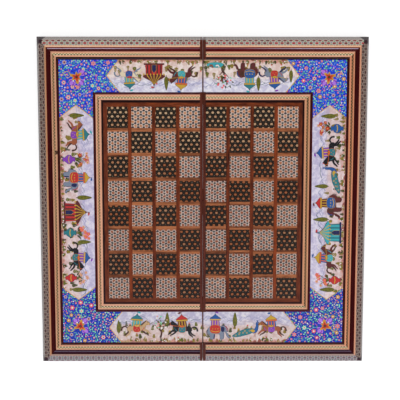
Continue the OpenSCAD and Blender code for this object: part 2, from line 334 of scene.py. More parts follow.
def square_grid() -> bpy.types.NodeTree:
    """Group that finds the square a point lies in, its place in that square and the square's own chance."""

    def wire(graph: Graph, given: Outputs) -> dict[str, Signal]:
        x, y, _ = graph.split(given["Place"])
        across, along = abs(x) - (PLAN.strip - PLAN.fillet / 2), y + (PLAN.field_y + PLAN.fillet / 2)
        pitch_x, pitch_y = PLAN.square_x + PLAN.fillet, PLAN.square_y + PLAN.fillet
        column, row = (across / pitch_x).do("FLOOR"), (along / pitch_y).do("FLOOR")
        own = graph.chance(graph.join(column, row, x.do("SIGN")))
        return {
            "U": across - (column + 0.5) * pitch_x,
            "V": along - (row + 0.5) * pitch_y,
            "Chance": own["Value"],
            "Shift": own["Color"],
        }

    return shared_group("Square Grid", ("Place",), wire)


def wood_grain() -> bpy.types.NodeTree:
    """Group for the figure and the pores of wood whose grain runs along the vector's first part."""

    def wire(graph: Graph, given: Outputs) -> dict[str, Signal]:
        along, across, up = graph.split(given["Place"])
        long_way = graph.join(along / given["Stretch"], across, up)
        fine_way = graph.join(along / (given["Stretch"] * 1.6), across, up)
        figure = graph.noise(long_way, 0.35, 4.0, 0.6) * 0.6 + graph.noise(fine_way, 1.5, 3.0, 0.6) * 0.4
        return {"Figure": figure.mask(0.32, 0.68), "Pores": graph.noise(fine_way, 5.0, 2.0, 0.5).mask(0.62, 0.72)}

    return shared_group("Wood Grain", ("Place", "Stretch"), wire)


def handling() -> bpy.types.NodeTree:
    """Group for the marks of use on a varnished surface: smears that change the gloss and a faint unevenness."""

    def wire(graph: Graph, given: Outputs) -> dict[str, Signal]:
        smears = graph.noise(given["Place"], 0.05, 4.0, 0.6)
        rough = given["Roughness"] + (smears - 0.5) * given["Swing"]
        return {"Roughness": rough.clamped(), "Height": smears * 0.3 + graph.noise(given["Place"], 2.2, 2.0, 0.5)}

    return shared_group("Handling", ("Place", "Roughness", "Swing"), wire)


class Surface:
    """A material with one Principled shader. Place and its parts x, y and z are in millimetres."""

    def __init__(self, name: str, **values: object) -> None:
        """Makes the material and sets plain values of its shader, with underscores for spaces."""
        self.material = bpy.data.materials.new(name)
        self.material.use_nodes = True
        self.graph = Graph(self.material.node_tree)
        self.inputs = self.material.node_tree.nodes["Principled BSDF"].inputs
        coords = self.graph.add("TexCoord")["Object"]
        self.place = self.graph.add("VectorMath", {0: coords, "Scale": 1 / MM}, operation="SCALE")[0]
        self.x, self.y, self.z = self.graph.split(self.place)
        for label, value in values.items():
            self.inputs[label.replace("_", " ")].default_value = value

    def lines(self, extra: float = 0.0) -> Outputs:
        """Follows the mitred frame, where it reaches further along the fold than across it by extra."""
        return self.graph.use(board_lines(), Place=self.place, Extra=extra)

    def noise(self, scale: float, detail: float = 3.0, roughness: float = 0.55) -> Signal:
        """Returns a noise value over the surface."""
        return self.graph.noise(self.place, scale, detail, roughness)

    def finish(
        self, colour: Signal, roughness: float, swing: float = 0.18, depth: float = 0.01, relief: Signal | None = None,
    ) -> bpy.types.Material:
        """Gives the shader its base colour, its roughness and its bump.

        Args:
            colour: The base colour.
            roughness: Mean roughness.
            swing: How much smears change it.
            depth: Depth of the unevenness in millimetres.
            relief: A height of the material's own that is added to it.

        Returns:
            The finished material.
        """
        marks = self.graph.use(handling(), Place=self.place, Roughness=roughness, Swing=swing)
        height = marks["Height"] if relief is None else marks["Height"] * 0.4 + relief
        bump = self.graph.add("Bump", {"Height": height, "Distance": depth * MM, "Strength": 0.6})[0]
        for label, value in (("Base Color", colour), ("Roughness", marks["Roughness"]), ("Normal", bump)):
            self.graph.feed(self.inputs[label], value)
        return self.material


# Finishes


@dataclass(frozen=True)
class PaintedSideLight:
    """Painted light and shade of each length of the frame, as red, green and blue shares of its colour."""

    back: Tint = (1.0, 1.0, 1.0)
    right: Tint = (1.0, 1.0, 1.0)
    near: Tint = (1.0, 1.0, 1.0)
    left: Tint = (1.0, 1.0, 1.0)

    def on(self, lines: Outputs, colour: Signal) -> Signal:
        """Returns the colour with the painted light and shade of its length."""
        graph, length = lines.graph, lines["Length"]
        far_light = graph.blend(length > SIDES_FROM, (*self.back, 1.0), (*self.right, 1.0))
        near_light = graph.blend(length < -SIDES_FROM, (*self.near, 1.0), (*self.left, 1.0))
        return graph.blend(1.0, colour, graph.blend(length < 0.0, far_light, near_light), "MULTIPLY")


@dataclass(frozen=True)
class Finish:
    """A finish, with the name of its material."""

    name: str

    def build(self) -> bpy.types.Material:
        """Makes the material."""
        raise NotImplementedError


class Lie(Enum):
    """Which way the grain of a wood runs."""

    ROUND_FRAME = "round the mitred frame"
    ALONG_FOLD = "along the fold"
    ACROSS_FOLD = "across the fold"


WOOD_STEP_X, WOOD_STEP_Y = 35.6, 36.6
LOG_LENGTH, PIECE_STEP = 900.0, 7.0


@dataclass(frozen=True)
class WoodFinish(Finish):
    """A varnished or lacquered wood.

    Attributes:
        dark: Colour of the dark grain.
        light: Colour of the light grain.
        lie: Which way the grain runs.
        roughness: Roughness of the varnish.
        coat: Weight of the clear coat.
        extra: How much further the line reaches along the fold than across it.
        piece: Length in millimetres after which a new piece of wood with its own tone starts, or 0.
        stretch: How long the grain is drawn.
        swing: How much the tone changes from piece to piece.
        gloss: Refractive index of the clear coat.
        lit_side: Colour of a painted lit side of the line, where the light falls on it, if it has one.
        lit_side_span: Distances from the middle between which that colour fades in.
        side_light: Painted light and shade of the four lengths of the frame, if they differ.
        thin_coat: Weight of the clear coat where it is rubbed thin, which is all but the ends of the back length.
        full_span: Distances from the fold between which the coat of the back length grows full.
    """

    dark: Colour
    light: Colour
    lie: Lie = Lie.ROUND_FRAME
    roughness: float = 0.38
    coat: float = 0.3
    extra: float = 0.0
    piece: float = 0.0
    stretch: float = 14.0
    swing: float = 0.25
    gloss: float = 1.5
    lit_side: Colour | None = None
    lit_side_span: tuple[float, float] = (0.0, 1.0)
    side_light: PaintedSideLight | None = None
    thin_coat: float | None = None
    full_span: tuple[float, float] = (0.0, 1.0)

    def build(self) -> bpy.types.Material:
        """Makes the material."""
        surface = Surface(self.name, Coat_Weight=self.coat, Coat_Roughness=0.12, Coat_IOR=self.gloss)
        graph, lines = surface.graph, surface.lines(self.extra)
        x, y = surface.x, surface.y
        if self.lie is Lie.ROUND_FRAME:
            along, across, own = lines["Along"], lines["Across"], lines["Length"]
        elif self.lie is Lie.ALONG_FOLD:
            along, across, own = y, x, (x / WOOD_STEP_X).do("FLOOR")
        else:
            along, across, own = x, y, (y / WOOD_STEP_Y).do("FLOOR")
        if self.piece:
            own = own + (along / self.piece).do("FLOOR") * PIECE_STEP
        chance = graph.chance(graph.join(own, 0.5))["Value"]
        shifted = graph.join(along + chance * LOG_LENGTH, across, surface.z)
        grain = graph.use(wood_grain(), Place=shifted, Stretch=self.stretch)
        tone = (grain["Figure"] + (chance - 0.5) * (self.swing * 2)).clamped()
        colour = graph.blend(grain["Pores"] * 0.5, graph.blend(tone, self.dark, self.light), self.dark)
        # Painted lit side: a brighter colour on the side of the line where the light falls.
        if self.lit_side:
            colour = graph.blend(lines["Across"].mask(*self.lit_side_span), colour, self.lit_side)
        # Painted light and shade: each length of the frame is darkened, lightened or tinted for the way the light
        # falls on it.
        if self.side_light:
            colour = self.side_light.on(lines, colour)
        if self.thin_coat is not None:
            full = on_length(lines, BACK) * abs(x).mask(*self.full_span)
            graph.feed(surface.inputs["Coat Weight"], graph.between(full, self.thin_coat, self.coat))
        return surface.finish(colour, self.roughness, depth=0.02, relief=grain["Pores"] * -0.6)


STAR_SOFT = 0.012
WEDGE_SOFT = 0.02
CELL_CORNER = 0.577
ROW_START, SIDE_ROW_SHIFT, LENGTH_SHIFT = 3.2, 1.1, 2.9


@dataclass(frozen=True)
class SquareMosaic(Finish):
    """The mosaic of the squares: stars in a ring on a ground, with small triangles between them.

    Attributes:
        ground: Colour of the ground.
        hearts: The two colours between which the stars vary.
        pip: Colour of the small star in the middle.
        ring: Colour of the ring round the star.
        upper: Colour of the triangles above the stars.
        lower: Colour of the triangles below the stars.
        star: Half width of the star's arms, as a share of the pitch.
        ring_width: Width of the ring, as a share of the pitch.
        wedge: Half width of the triangles, as a share of the pitch.
        uneven: How far the parts' edges stray, as a share of the pitch.
    """

    ground: Colour
    hearts: tuple[Colour, Colour]
    pip: Colour
    ring: Colour
    upper: Colour
    lower: Colour
    star: float
    ring_width: float
    wedge: float
    uneven: float
    pitch_x: float = 8.2
    pitch_y: float = 6.2

    def build(self) -> bpy.types.Material:
        """Makes the material."""
        surface = Surface(self.name, Coat_Weight=0.2, Coat_Roughness=0.15)
        graph = surface.graph
        grid = graph.use(square_grid(), Place=surface.place)
        shift_u, shift_v, own = graph.split(grid["Shift"])
        stars = graph.use(
            star_lattice(), U=grid["U"] + shift_u * self.pitch_x, V=grid["V"] + shift_v * (self.pitch_y * 2),
            Pitch_U=self.pitch_x, Pitch_V=self.pitch_y, Seed=grid["Chance"],
        )
        wobble = (surface.noise(0.45, 2.0) - 0.5) * self.uneven
        # Painted sheen: the stars' hearts turn paler towards the back rows, where the light glances off the varnish.
        painted_sheen = surface.y.mask(55.0, 145.0) - 0.45
        heart = graph.blend((stars["Chance"] * 0.6 + own * 0.4 - painted_sheen).clamped(), *self.hearts)
        seam = stars["Cell"].mask(0.455, 0.475)
        colour = graph.blend(surface.noise(0.12) * 0.25, self.ground, self.ring)
        colour = graph.blend(seam * 0.45, colour, self.lower)
        reach = CELL_CORNER - self.wedge
        for side, paint in (("Upper", self.upper), ("Lower", self.lower)):
            wedge = (stars[side] + wobble).mask(reach - WEDGE_SOFT, reach + WEDGE_SOFT)
            colour = graph.blend(wedge, colour, paint)
        for edge, paint in ((self.star + self.ring_width, self.ring), (self.star, heart)):
            colour = graph.blend((stars["Star"] + wobble).mask(edge + STAR_SOFT, edge - STAR_SOFT), colour, paint)
        colour = graph.blend(stars["Cell"].mask(0.07, 0.045), colour, self.pip)
        # The squares darken towards the near side of the board.
        colour = graph.blend(surface.y.mask(80.0, -60.0) * 0.12, colour, shade(20, 8, 4))
        return surface.finish(colour, 0.36, depth=0.015, relief=seam * -0.3)


@dataclass(frozen=True)
class EdgeMosaic(Finish):
    """The flattened stars of the outer band, in rows that run round the board, on the top or down the slope.

    Attributes:
        slope_haze_and_shade: How far the colours fade to grey down the slope, from 0 to 1; the grey is partly painted
            shade of the slope.
    """

    slope_haze_and_shade: float

    def build(self) -> bpy.types.Material:
        """Makes the material."""
        surface = Surface(self.name, Coat_Weight=0.25, Coat_Roughness=0.2)
        graph, lines = surface.graph, surface.lines()
        length, drop = lines["Length"], PLAN.top_z - surface.z
        side, front = abs(length) > SIDES_FROM, on_length(lines, NEAR)
        row = lines["Across"] - (PLAN.band_in + ROW_START) + side * SIDE_ROW_SHIFT + drop
        along = lines["Along"] + length * LENGTH_SHIFT
        stars = graph.use(star_lattice(), U=along, V=row, Pitch_U=8.5, Pitch_V=4.0, Seed=length)
        ground = graph.blend(surface.noise(0.06).mask(0.35, 0.65), shade(186, 166, 158), shade(166, 180, 160))
        ground = graph.blend(stars["Star"].mask(0.34, 0.28), ground, shade(224, 204, 190))
        chance = graph.chance(graph.join(stars["Chance"], 3.0))["Value"]
        grey = (side * 0.8).do("MAXIMUM", front * 0.45)
        for way, first, second in (
            ("Upper", shade(114, 196, 144), shade(90, 86, 78)), ("Lower", shade(146, 164, 190), shade(78, 98, 80)),
        ):
            paint = graph.blend(grey, graph.blend(chance, first, second), shade(112, 100, 96))
            ground = graph.blend(stars[way].mask(0.43, 0.47), ground, paint)
        heart = graph.blend(stars["Chance"] * 0.8, shade(180, 34, 44), shade(90, 44, 40))
        dull = graph.blend(front, shade(84, 58, 54), shade(132, 110, 108))
        plain = side.do("MAXIMUM", front)
        heart = graph.blend((plain * 0.85).do("MAXIMUM", row.mask(1.6, 2.4) * 0.5), heart, dull)
        reach = graph.between(plain, 0.215, 0.2) - stars["Star"]
        colour = graph.blend(reach.mask(-STAR_SOFT, STAR_SOFT), ground, heart)
        # Painted shade: down the slope the colours fade to a darker grey, partly a blurred pattern and partly the
        # shade of the slope.
        colour = graph.blend(drop.mask(2.0, 26.0) * self.slope_haze_and_shade, colour, shade(124, 112, 112))
        # Painted light: the side lengths and the near length are darker than the back length.
        sides = (0.50, 0.43, 0.42)
        colour = PaintedSideLight(near=(0.68, 0.71, 0.86), left=sides, right=sides).on(lines, colour)
        return surface.finish(colour, 0.4, depth=0.015, relief=stars["Cell"].mask(0.48, 0.44))


WORN_SPOT = (-217.4, 76.4)
WORN_EDGE = (3.4, 2.6)


@dataclass(frozen=True)
class BandingFinish(Finish):
    """Banding of two pale strips with a mosaic of fine dots between them.

    Attributes:
        inner: Distance of its inner side from the middle, in millimetres.
        width: Width of the banding.
        extra: How much further it reaches along the fold than across it.
        side_light: Painted light and shade of its four lengths.
        rim: Width of a dark line along its outer side, but for the back length.
        back_rim: Width of a dark line along the inner side of its back length.
    """

    inner: float
    width: float
    extra: float
    side_light: PaintedSideLight
    rim: float
    back_rim: float = 0.0

    def build(self) -> bpy.types.Material:
        """Makes the material."""
        surface = Surface(self.name, Coat_Weight=0.3, Coat_Roughness=0.15)
        graph, lines = surface.graph, surface.lines(self.extra)
        along, length = lines["Along"], lines["Length"]
        off = lines["Across"] - (self.inner + self.width / 2 + 0.1)
        own = graph.join(along, lines["Across"], length * 40.0)
        grain = graph.use(wood_grain(), Place=own, Stretch=20.0)
        pale = graph.blend(grain["Figure"], shade(228, 150, 114), shade(246, 192, 158))
        dots = graph.use(star_lattice(), U=along, V=off + 0.65, Pitch_U=4.6, Pitch_V=1.6, Seed=1.0)
        dot = graph.blend(off.mask(0.1, 0.2), shade(14, 4, 2), shade(164, 130, 78))
        bed = graph.blend(surface.noise(0.05, 2.0), shade(246, 226, 172), shade(252, 236, 196))
        bed = graph.blend(dots["Cell"].mask(0.38, 0.35), bed, dot)
        # Painted shade: the dotted middle strip is darker on the side lengths.
        bed = PaintedSideLight(left=(0.72, 0.52, 0.46), right=(0.46, 0.34, 0.3)).on(lines, bed)
        colour = graph.blend(abs(off).mask(1.52, 1.44), pale, bed)
        outward, inward = off - (self.width / 2 - self.rim), -off - (self.width / 2 - self.back_rim)
        rim = graph.between(on_length(lines, BACK), outward, inward).mask(-0.15, -0.05)
        # The dark rim line, then the painted light and shade of each length.
        colour = self.side_light.on(lines, graph.blend(rim, colour, shade(56, 12, 12)))
        mark = graph.join((surface.x - WORN_SPOT[0]) * 1.6, surface.y - WORN_SPOT[1])
        spot = graph.add("VectorMath", {0: mark}, operation="LENGTH")["Value"]
        colour = graph.blend(spot.mask(*WORN_EDGE) * 0.92, colour, shade(60, 24, 8))
        return surface.finish(colour, 0.38, depth=0.015)


def with_rim(lines: Outputs, colour: Signal) -> Signal:
    """Returns the colour of a painted panel with the dark line along its outer side."""
    return lines.graph.blend(lines["Across"].mask(PLAN.paint_out, PLAN.paint_out + 0.1), colour, RIM)


class PaintedGround(Finish):
    """Varnished ground of the picture panels, from a warm earth at the outer edge to a pale sky."""

    def build(self) -> bpy.types.Material:
        """Makes the material."""
        surface = Surface(self.name, Coat_Weight=0.2, Coat_Roughness=0.16)
        graph, lines = surface.graph, surface.lines()
        height = PLAN.border_out - lines["Across"]
        hills = graph.noise(graph.join(lines["Along"] * 0.35, height, lines["Length"]), 0.1)
        level = height + (hills - 0.5) * 22.0
        blotch = surface.noise(0.16, 4.0, 0.6)
        earth = graph.blend(blotch.mask(0.38, 0.62), shade(232, 200, 190), shade(253, 238, 233))
        earth = graph.blend(level.mask(7.0, 1.0), earth, shade(226, 172, 154))
        sky = graph.blend(blotch.mask(0.4, 0.62), shade(208, 203, 230), shade(249, 246, 255))
        colour = graph.blend(level.mask(24.0, 34.0), earth, sky)
        colour = graph.blend(abs(level - 29.0).mask(1.3, 0.2) * 0.35, colour, shade(168, 164, 200))
        # Painted light: the near panel and the side panels are darker than the back panel.
        sides = (0.9, 0.86, 0.92)
        colour = PaintedSideLight(near=(0.84, 0.82, 0.84), left=sides, right=sides).on(lines, colour)
        return surface.finish(with_rim(lines, colour), 0.42, depth=0.02)


class BlueGround(Finish):
    """Varnished ultramarine ground of the corners."""

    def build(self) -> bpy.types.Material:
        """Makes the material."""
        surface = Surface(self.name, Coat_Weight=0.2, Coat_Roughness=0.16)
        graph = surface.graph
        wash, fine = surface.noise(0.35, 4.0, 0.6), surface.noise(1.3, 2.0)
        colour = graph.blend(wash.mask(0.38, 0.62), shade(3, 22, 230), shade(38, 112, 255))
        colour = graph.blend(fine.mask(0.53, 0.6) * 0.9, colour, shade(4, 10, 96))
        # Painted shade: the blue darkens towards the near side of the board.
        colour = graph.blend(surface.y.mask(60.0, -180.0) * 0.5, colour, shade(0, 10, 124))
        return surface.finish(with_rim(surface.lines(), colour), 0.42, depth=0.02)


class BrushedPaint(Finish):
    """Opaque paint that takes its colour from the shapes' own attribute, with brush marks."""

    def build(self) -> bpy.types.Material:
        """Makes the material."""
        surface = Surface(self.name, Coat_Weight=0.3, Coat_Roughness=0.18)
        graph, brush = surface.graph, surface.noise(1.4, 3.0, 0.6)
        paint = graph.add("VertexColor", layer_name="paint")["Color"]
        colour = graph.blend(brush.mask(0.5, 0.78) * 0.24, paint, (0.02, 0.01, 0.01, 1.0))
        colour = graph.blend(brush.mask(0.48, 0.25) * 0.08, colour, (0.9, 0.85, 0.78, 1.0))
        return surface.finish(colour, 0.45, depth=0.02)


@dataclass(frozen=True)
class MetalFinish(Finish):
    """A metal with drawn lines and dulled patches."""

    bright: Colour
    dull: Colour
    roughness: float

    def build(self) -> bpy.types.Material:
        """Makes the material."""
        surface = Surface(self.name, Metallic=1.0)
        drawn = surface.graph.noise(surface.graph.join(surface.x, surface.y * 0.06, surface.z), 6.0, 2.0)
        colour = surface.graph.blend(surface.noise(0.3, 4.0, 0.65).mask(0.42, 0.7), self.bright, self.dull)
        return surface.finish(colour, self.roughness, swing=0.4, relief=drawn)


class PlyFinish(Finish):
    """Raw plywood of the core panel, with its layers on the edges."""

    def build(self) -> bpy.types.Material:
        """Makes the material."""
        surface = Surface(self.name)
        graph, layer = surface.graph, surface.z.do("WRAP", 2.0, 0.0) > 1.0
        grain = graph.use(wood_grain(), Place=graph.join(surface.y, surface.x, surface.z), Stretch=18.0)
        face = graph.blend(grain["Figure"], shade(176, 136, 92), shade(214, 178, 132))
        colour = graph.blend(layer * 0.35, face, shade(132, 92, 56))
        return surface.finish(colour, 0.6, depth=0.03, relief=grain["Pores"])


# The tones given below for the lengths of the frame are painted light and shade, not the woods' own colours.
FINISHES: dict[str, Finish] = {
    "core_panel": PlyFinish("Plywood"),
    "fold_rail": WoodFinish("Rail_beside_fold", shade(64, 24, 16), shade(118, 54, 32), Lie.ALONG_FOLD, 0.34, 0.5),
    "far_rail": WoodFinish("Rail_wood", shade(64, 24, 16), shade(118, 54, 32), Lie.ROUND_FRAME, 0.34, 0.5),
    "corner_posts": WoodFinish("Corner_posts", shade(40, 18, 26), shade(76, 42, 52), Lie.ROUND_FRAME, 0.6, 0.0),
    "side_khatam": EdgeMosaic("Mosaic_of_slope", 0.75),
    "band_khatam": EdgeMosaic("Mosaic_of_band", 0.0),
    "pale_line": WoodFinish(
        "Pale_line", shade(250, 188, 144), shade(255, 224, 188), stretch=20.0,
        side_light=PaintedSideLight(right=(0.80, 0.60, 0.58), near=(0.50, 0.48, 0.62), left=(0.62, 0.47, 0.38)),
    ),
    # Painted lit side on the outer side of the cove; the near length's purple tint is a painted reflection.
    "cove": WoodFinish(
        "Maroon_cove", shade(80, 6, 12), shade(122, 16, 22), roughness=0.18, coat=1.0, gloss=2.9,
        lit_side=shade(140, 24, 18), lit_side_span=(228.8, 230.2), thin_coat=0.15, full_span=(50.0, 140.0),
        side_light=PaintedSideLight(right=(0.42, 0.3, 0.34), near=(0.28, 2.0, 3.6), left=(0.42, 0.3, 0.34)),
    ),
    "outer_banding": BandingFinish(
        "Outer_banding", 216.1, 8.0, 0.0,
        PaintedSideLight(right=(0.92, 0.72, 0.60), near=(0.87, 0.87, 0.87), left=(0.83, 0.84, 0.79)), 0.5,
    ),
    # Painted lit side along the bead's inner side, and painted shade on its back length.
    "outer_bead": WoodFinish(
        "Dark_bead", shade(36, 2, 6), shade(62, 8, 12), roughness=0.3, lit_side=shade(78, 14, 14),
        lit_side_span=(214.9, 214.1), side_light=PaintedSideLight(back=(0.4, 0.2, 0.3)),
    ),
    "picture_panels": PaintedGround("Picture_ground"),
    "blue_corners": BlueGround("Blue_ground"),
    "inner_bead": WoodFinish("Red_bead", shade(60, 6, 8), shade(98, 16, 16), roughness=0.3, extra=PLAN.field_extra),
    "inner_banding": BandingFinish(
        "Inner_banding", 150.5, 8.8, PLAN.field_extra,
        PaintedSideLight(right=(0.86, 0.80, 0.68), near=(0.91, 0.93, 0.97)), 0.6, 0.7,
    ),
    "field_line": WoodFinish("Field_line", shade(22, 4, 6), shade(56, 12, 10), extra=PLAN.field_extra),
    "field_margin": WoodFinish(
        "Margin_wood", shade(66, 18, 4), shade(150, 66, 26), extra=PLAN.field_extra, stretch=6.0,
        side_light=PaintedSideLight(back=(1.35, 1.4, 0.95), near=(0.76, 0.8, 0.7)),
    ),
    "upright_fillets": WoodFinish(
        "Upright_fillets", shade(58, 14, 0), shade(158, 66, 16), Lie.ALONG_FOLD, stretch=6.0,
    ),
    "cross_fillets": WoodFinish(
        "Cross_fillets", shade(96, 44, 16), shade(194, 116, 70), Lie.ACROSS_FOLD,
        piece=WOOD_STEP_X, stretch=6.0, swing=0.4,
    ),
    "dark_squares": SquareMosaic(
        "Dark_mosaic", shade(28, 19, 15), (shade(224, 190, 148), shade(184, 106, 60)), shade(122, 60, 28),
        shade(66, 40, 22), shade(118, 112, 96), shade(56, 60, 54), 0.152, 0.03, 0.066, 0.09,
    ),
    "light_squares": SquareMosaic(
        "Light_mosaic", shade(118, 98, 88), (shade(206, 138, 90), shade(150, 72, 36)), shade(194, 118, 62),
        shade(230, 208, 196), shade(60, 48, 54), shade(70, 78, 76), 0.18, 0.09, 0.165, 0.28,
    ),
    "seam_strips": WoodFinish(
        "Strips_beside_fold", shade(60, 18, 8), shade(118, 50, 30), Lie.ALONG_FOLD, swing=0.04,
    ),
    "lining": WoodFinish(
        "Lining_veneer", shade(104, 50, 26), shade(160, 92, 54), Lie.ALONG_FOLD, 0.4, stretch=30.0,
    ),
    "dark_points": WoodFinish("Dark_points", shade(34, 18, 12), shade(72, 42, 28), Lie.ALONG_FOLD, 0.36),
    "light_points": WoodFinish("Light_points", shade(196, 152, 98), shade(232, 196, 142), Lie.ALONG_FOLD, 0.36),
    "hinge_leaves": MetalFinish("Hinge_brass", shade(222, 184, 108), shade(164, 122, 62), 0.3),
    "magnets": MetalFinish("Nickel_plate", shade(206, 206, 210), shade(160, 160, 164), 0.22),
    "hinge_pins": MetalFinish("Pin_steel", shade(190, 188, 184), shade(130, 126, 120), 0.3),
}
SAME_FINISH = {"near_rail": "far_rail", "back_rail": "far_rail", "hinge_screws": "hinge_leaves"}


class Marquetry:
    """The CAD nodes of both halves, which keep their shapes and get their finishes."""

    def dress(self) -> None:
        """Gives every CAD node its material."""
        made: dict[str, bpy.types.Material] = {}
        for name, node in sorted(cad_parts.items()):
            kind = name.removeprefix("left_").removeprefix("right_")
            kind = SAME_FINISH.get(kind, kind)
            if kind not in made:
                made[kind] = FINISHES[kind].build()
            node.data.materials.clear()
            node.data.materials.append(made[kind])
            LOG.info("%s wears %s", name, made[kind].name)


# Painting


class Ink(Enum):
    """Colours on the painter's palette, as a screen shows them."""

    WHITE = (250, 244, 236)
    CREAM = (240, 222, 190)
    PINK = (238, 170, 160)
    SALMON = (248, 146, 128)
    CORAL = (250, 92, 98)
    RED = (205, 38, 40)
    MAROON = (104, 38, 40)
    RUST = (168, 88, 52)
    ORANGE = (232, 108, 24)
    MUSTARD = (214, 170, 48)
    GOLD = (228, 180, 92)
    OLIVE = (112, 112, 22)
    MOSS = (70, 74, 24)
    MINT = (140, 226, 180)
    FERN = (84, 176, 120)
    TEAL = (38, 130, 140)
    TURQUOISE = (60, 180, 190)
    SKY = (120, 190, 240)
    BLUE = (26, 92, 168)
    NAVY = (28, 34, 90)
    PURPLE = (140, 60, 190)
    LILAC = (186, 124, 240)
    LAVENDER = (168, 168, 206)
    SLATE = (132, 142, 162)
    CHARCOAL = (26, 24, 30)
    UMBER = (84, 46, 34)
    SAND = (206, 168, 126)
    ROSE_EARTH = (214, 150, 134)
    BRICK = (168, 92, 78)
    BRONZE = (146, 124, 36)

    @property
    def paint(self) -> Colour:
        """The linear colour of the ink."""
        return shade(*self.value)


EDGE_WIDTH = 0.28
STROKE_STEPS, TIP_STEPS = 4, 8
LOWEST_PAINT, LAYER_STEP, PAINT_FOOT = 0.02, 0.012, 0.01
PICTURE_INSET, SEAM_INSET = 0.45, 0.05


def curve(a: Vector, b: Vector, c: Vector, d: Vector, t: float) -> Vector:
    """Returns the spot at a share of the way from b to c on a smooth curve that comes from a and goes on to d."""
    return (2 * b + (c - a) * t + (2 * a - 5 * b + 4 * c - d) * t**2 + (3 * b - a - 3 * c + d) * t**3) / 2


def smooth(points: Sequence[Point], steps: int) -> Outline:
    """Returns a closed curve through the points, with a number of steps between two of them."""
    count = len(points)
    fours = [[Vector(points[(i + k) % count]) for k in (-1, 0, 1, 2)] for i in range(count)]
    return [tuple(curve(*four, step / steps)) for four in fours for step in range(steps)]


def grown(outline: Outline, amount: float) -> Outline:
    """Returns the outline moved outwards by an amount."""
    count = len(outline)
    area = sum(outline[i - 1][0] * outline[i][1] - outline[i][0] * outline[i - 1][1] for i in range(count))
    moved: Outline = []
    for i in range(count):
        run = Vector(outline[(i + 1) % count]) - Vector(outline[i - 1])
        if run.length < 1e-6:
            moved.append(outline[i])
            continue
        out = Vector((run.y, -run.x)).normalized() * math.copysign(amount, area)
        moved.append((outline[i][0] + out.x, outline[i][1] + out.y))
    return moved


def stroke(points: Sequence[Point], start: float, end: float) -> Outline:
    """Returns the outline of a brush stroke along a path, with its width at the start and at the end."""
    ends = [Vector(point) for point in (points[0], *points, points[-1])]
    shares = [step / STROKE_STEPS for step in range(STROKE_STEPS)]
    path = [curve(*ends[i - 1:i + 3], share) for i in range(1, len(ends) - 2) for share in shares] + ends[-1:]
    left: Outline = []
    right: Outline = []
    last = len(path) - 1
    for i, spot in enumerate(path):
        run = path[min(i + 1, last)] - path[max(i - 1, 0)]
        side = Vector((-run.y, run.x)).normalized() * (start + (end - start) * i / last) / 2
        left.append((spot.x + side.x, spot.y + side.y))
        right.append((spot.x - side.x, spot.y - side.y))
    return left + right[::-1]


class Motif:
    """Painted shapes in the order in which they are painted, in millimetres."""

    def __init__(self) -> None:
        """Starts with no shapes."""
        self.shapes: list[Shape] = []

    def fill(self, points: Sequence[Point], ink: Ink, edge: Ink | None = None, steps: int = 3) -> "Motif":
        """Paints a closed shape, with a thin edge in another ink if one is given."""
        outline = smooth(points, steps) if steps > 1 else list(points)
        if edge:
            self.shapes.append((grown(outline, EDGE_WIDTH), edge.paint))
        self.shapes.append((outline, ink.paint))
        return self

    def line(self, points: Sequence[Point], start: float, end: float, ink: Ink) -> "Motif":
        """Paints a stroke."""
        self.shapes.append((stroke(points, start, end), ink.paint))
        return self

    def dot(self, x: float, y: float, radius: float, ink: Ink, petals: int = 0, turn: float = 0.0) -> "Motif":
        """Paints a round spot, or one with petals."""
        count = 2 * petals if petals else 7
        outline: Outline = []
        for i in range(count):
            reach = radius * (0.62 if petals and i % 2 else 1.0)
            angle = turn + 2 * math.pi * i / count
            outline.append((x + reach * math.cos(angle), y + reach * math.sin(angle)))
        self.shapes.append((outline, ink.paint))
        return self

    def leaf(self, x: float, y: float, length: float, angle: float, ink: Ink, width: float = 0.34) -> "Motif":
        """Paints a pointed leaf that grows from a spot at an angle in degrees."""
        way = Vector((math.cos(math.radians(angle)), math.sin(math.radians(angle)))) * length
        side = Vector((-way.y, way.x)) * width / 2
        base = Vector((x, y))
        low, high = base + way * 0.35, base + way * 0.75
        spots = (base, low + side, high + side * 0.7, base + way, high - side * 0.7, low - side)
        self.shapes.append(([(s.x, s.y) for s in spots], ink.paint))
        return self

    def middle(self) -> float:
        """Returns the middle of the motif's length."""
        xs = [x for outline, _ in self.shapes for x, _ in outline]
        return (min(xs) + max(xs)) / 2

    def add(
        self, other: "Motif", x: float, y: float, size: float = 1.0, turn: float = 0.0, flip: bool = False,
    ) -> "Motif":
        """Paints another motif at a spot, scaled, turned by degrees and flipped left to right."""
        cos, sin = math.cos(math.radians(turn)) * size, math.sin(math.radians(turn)) * size
        for outline, paint in other.shapes:
            turned = [((-px if flip else px), py) for px, py in outline]
            self.shapes.append(([(x + px * cos - py * sin, y + px * sin + py * cos) for px, py in turned], paint))
        return self


class Half(Enum):
    """The two halves of the board, with the sign of X on each."""

    LEFT = -1
    RIGHT = 1

    @property
    def body(self) -> str:
        """The name of the half's body."""
        return self.name.lower()


Fence = list[tuple[Point, Point]]
FRAME_FENCE: Fence = [
    ((x * PLAN.paint_out, y * PLAN.paint_out), (float(x), float(y))) for x, y in ((1, 0), (-1, 0), (0, 1), (0, -1))
]


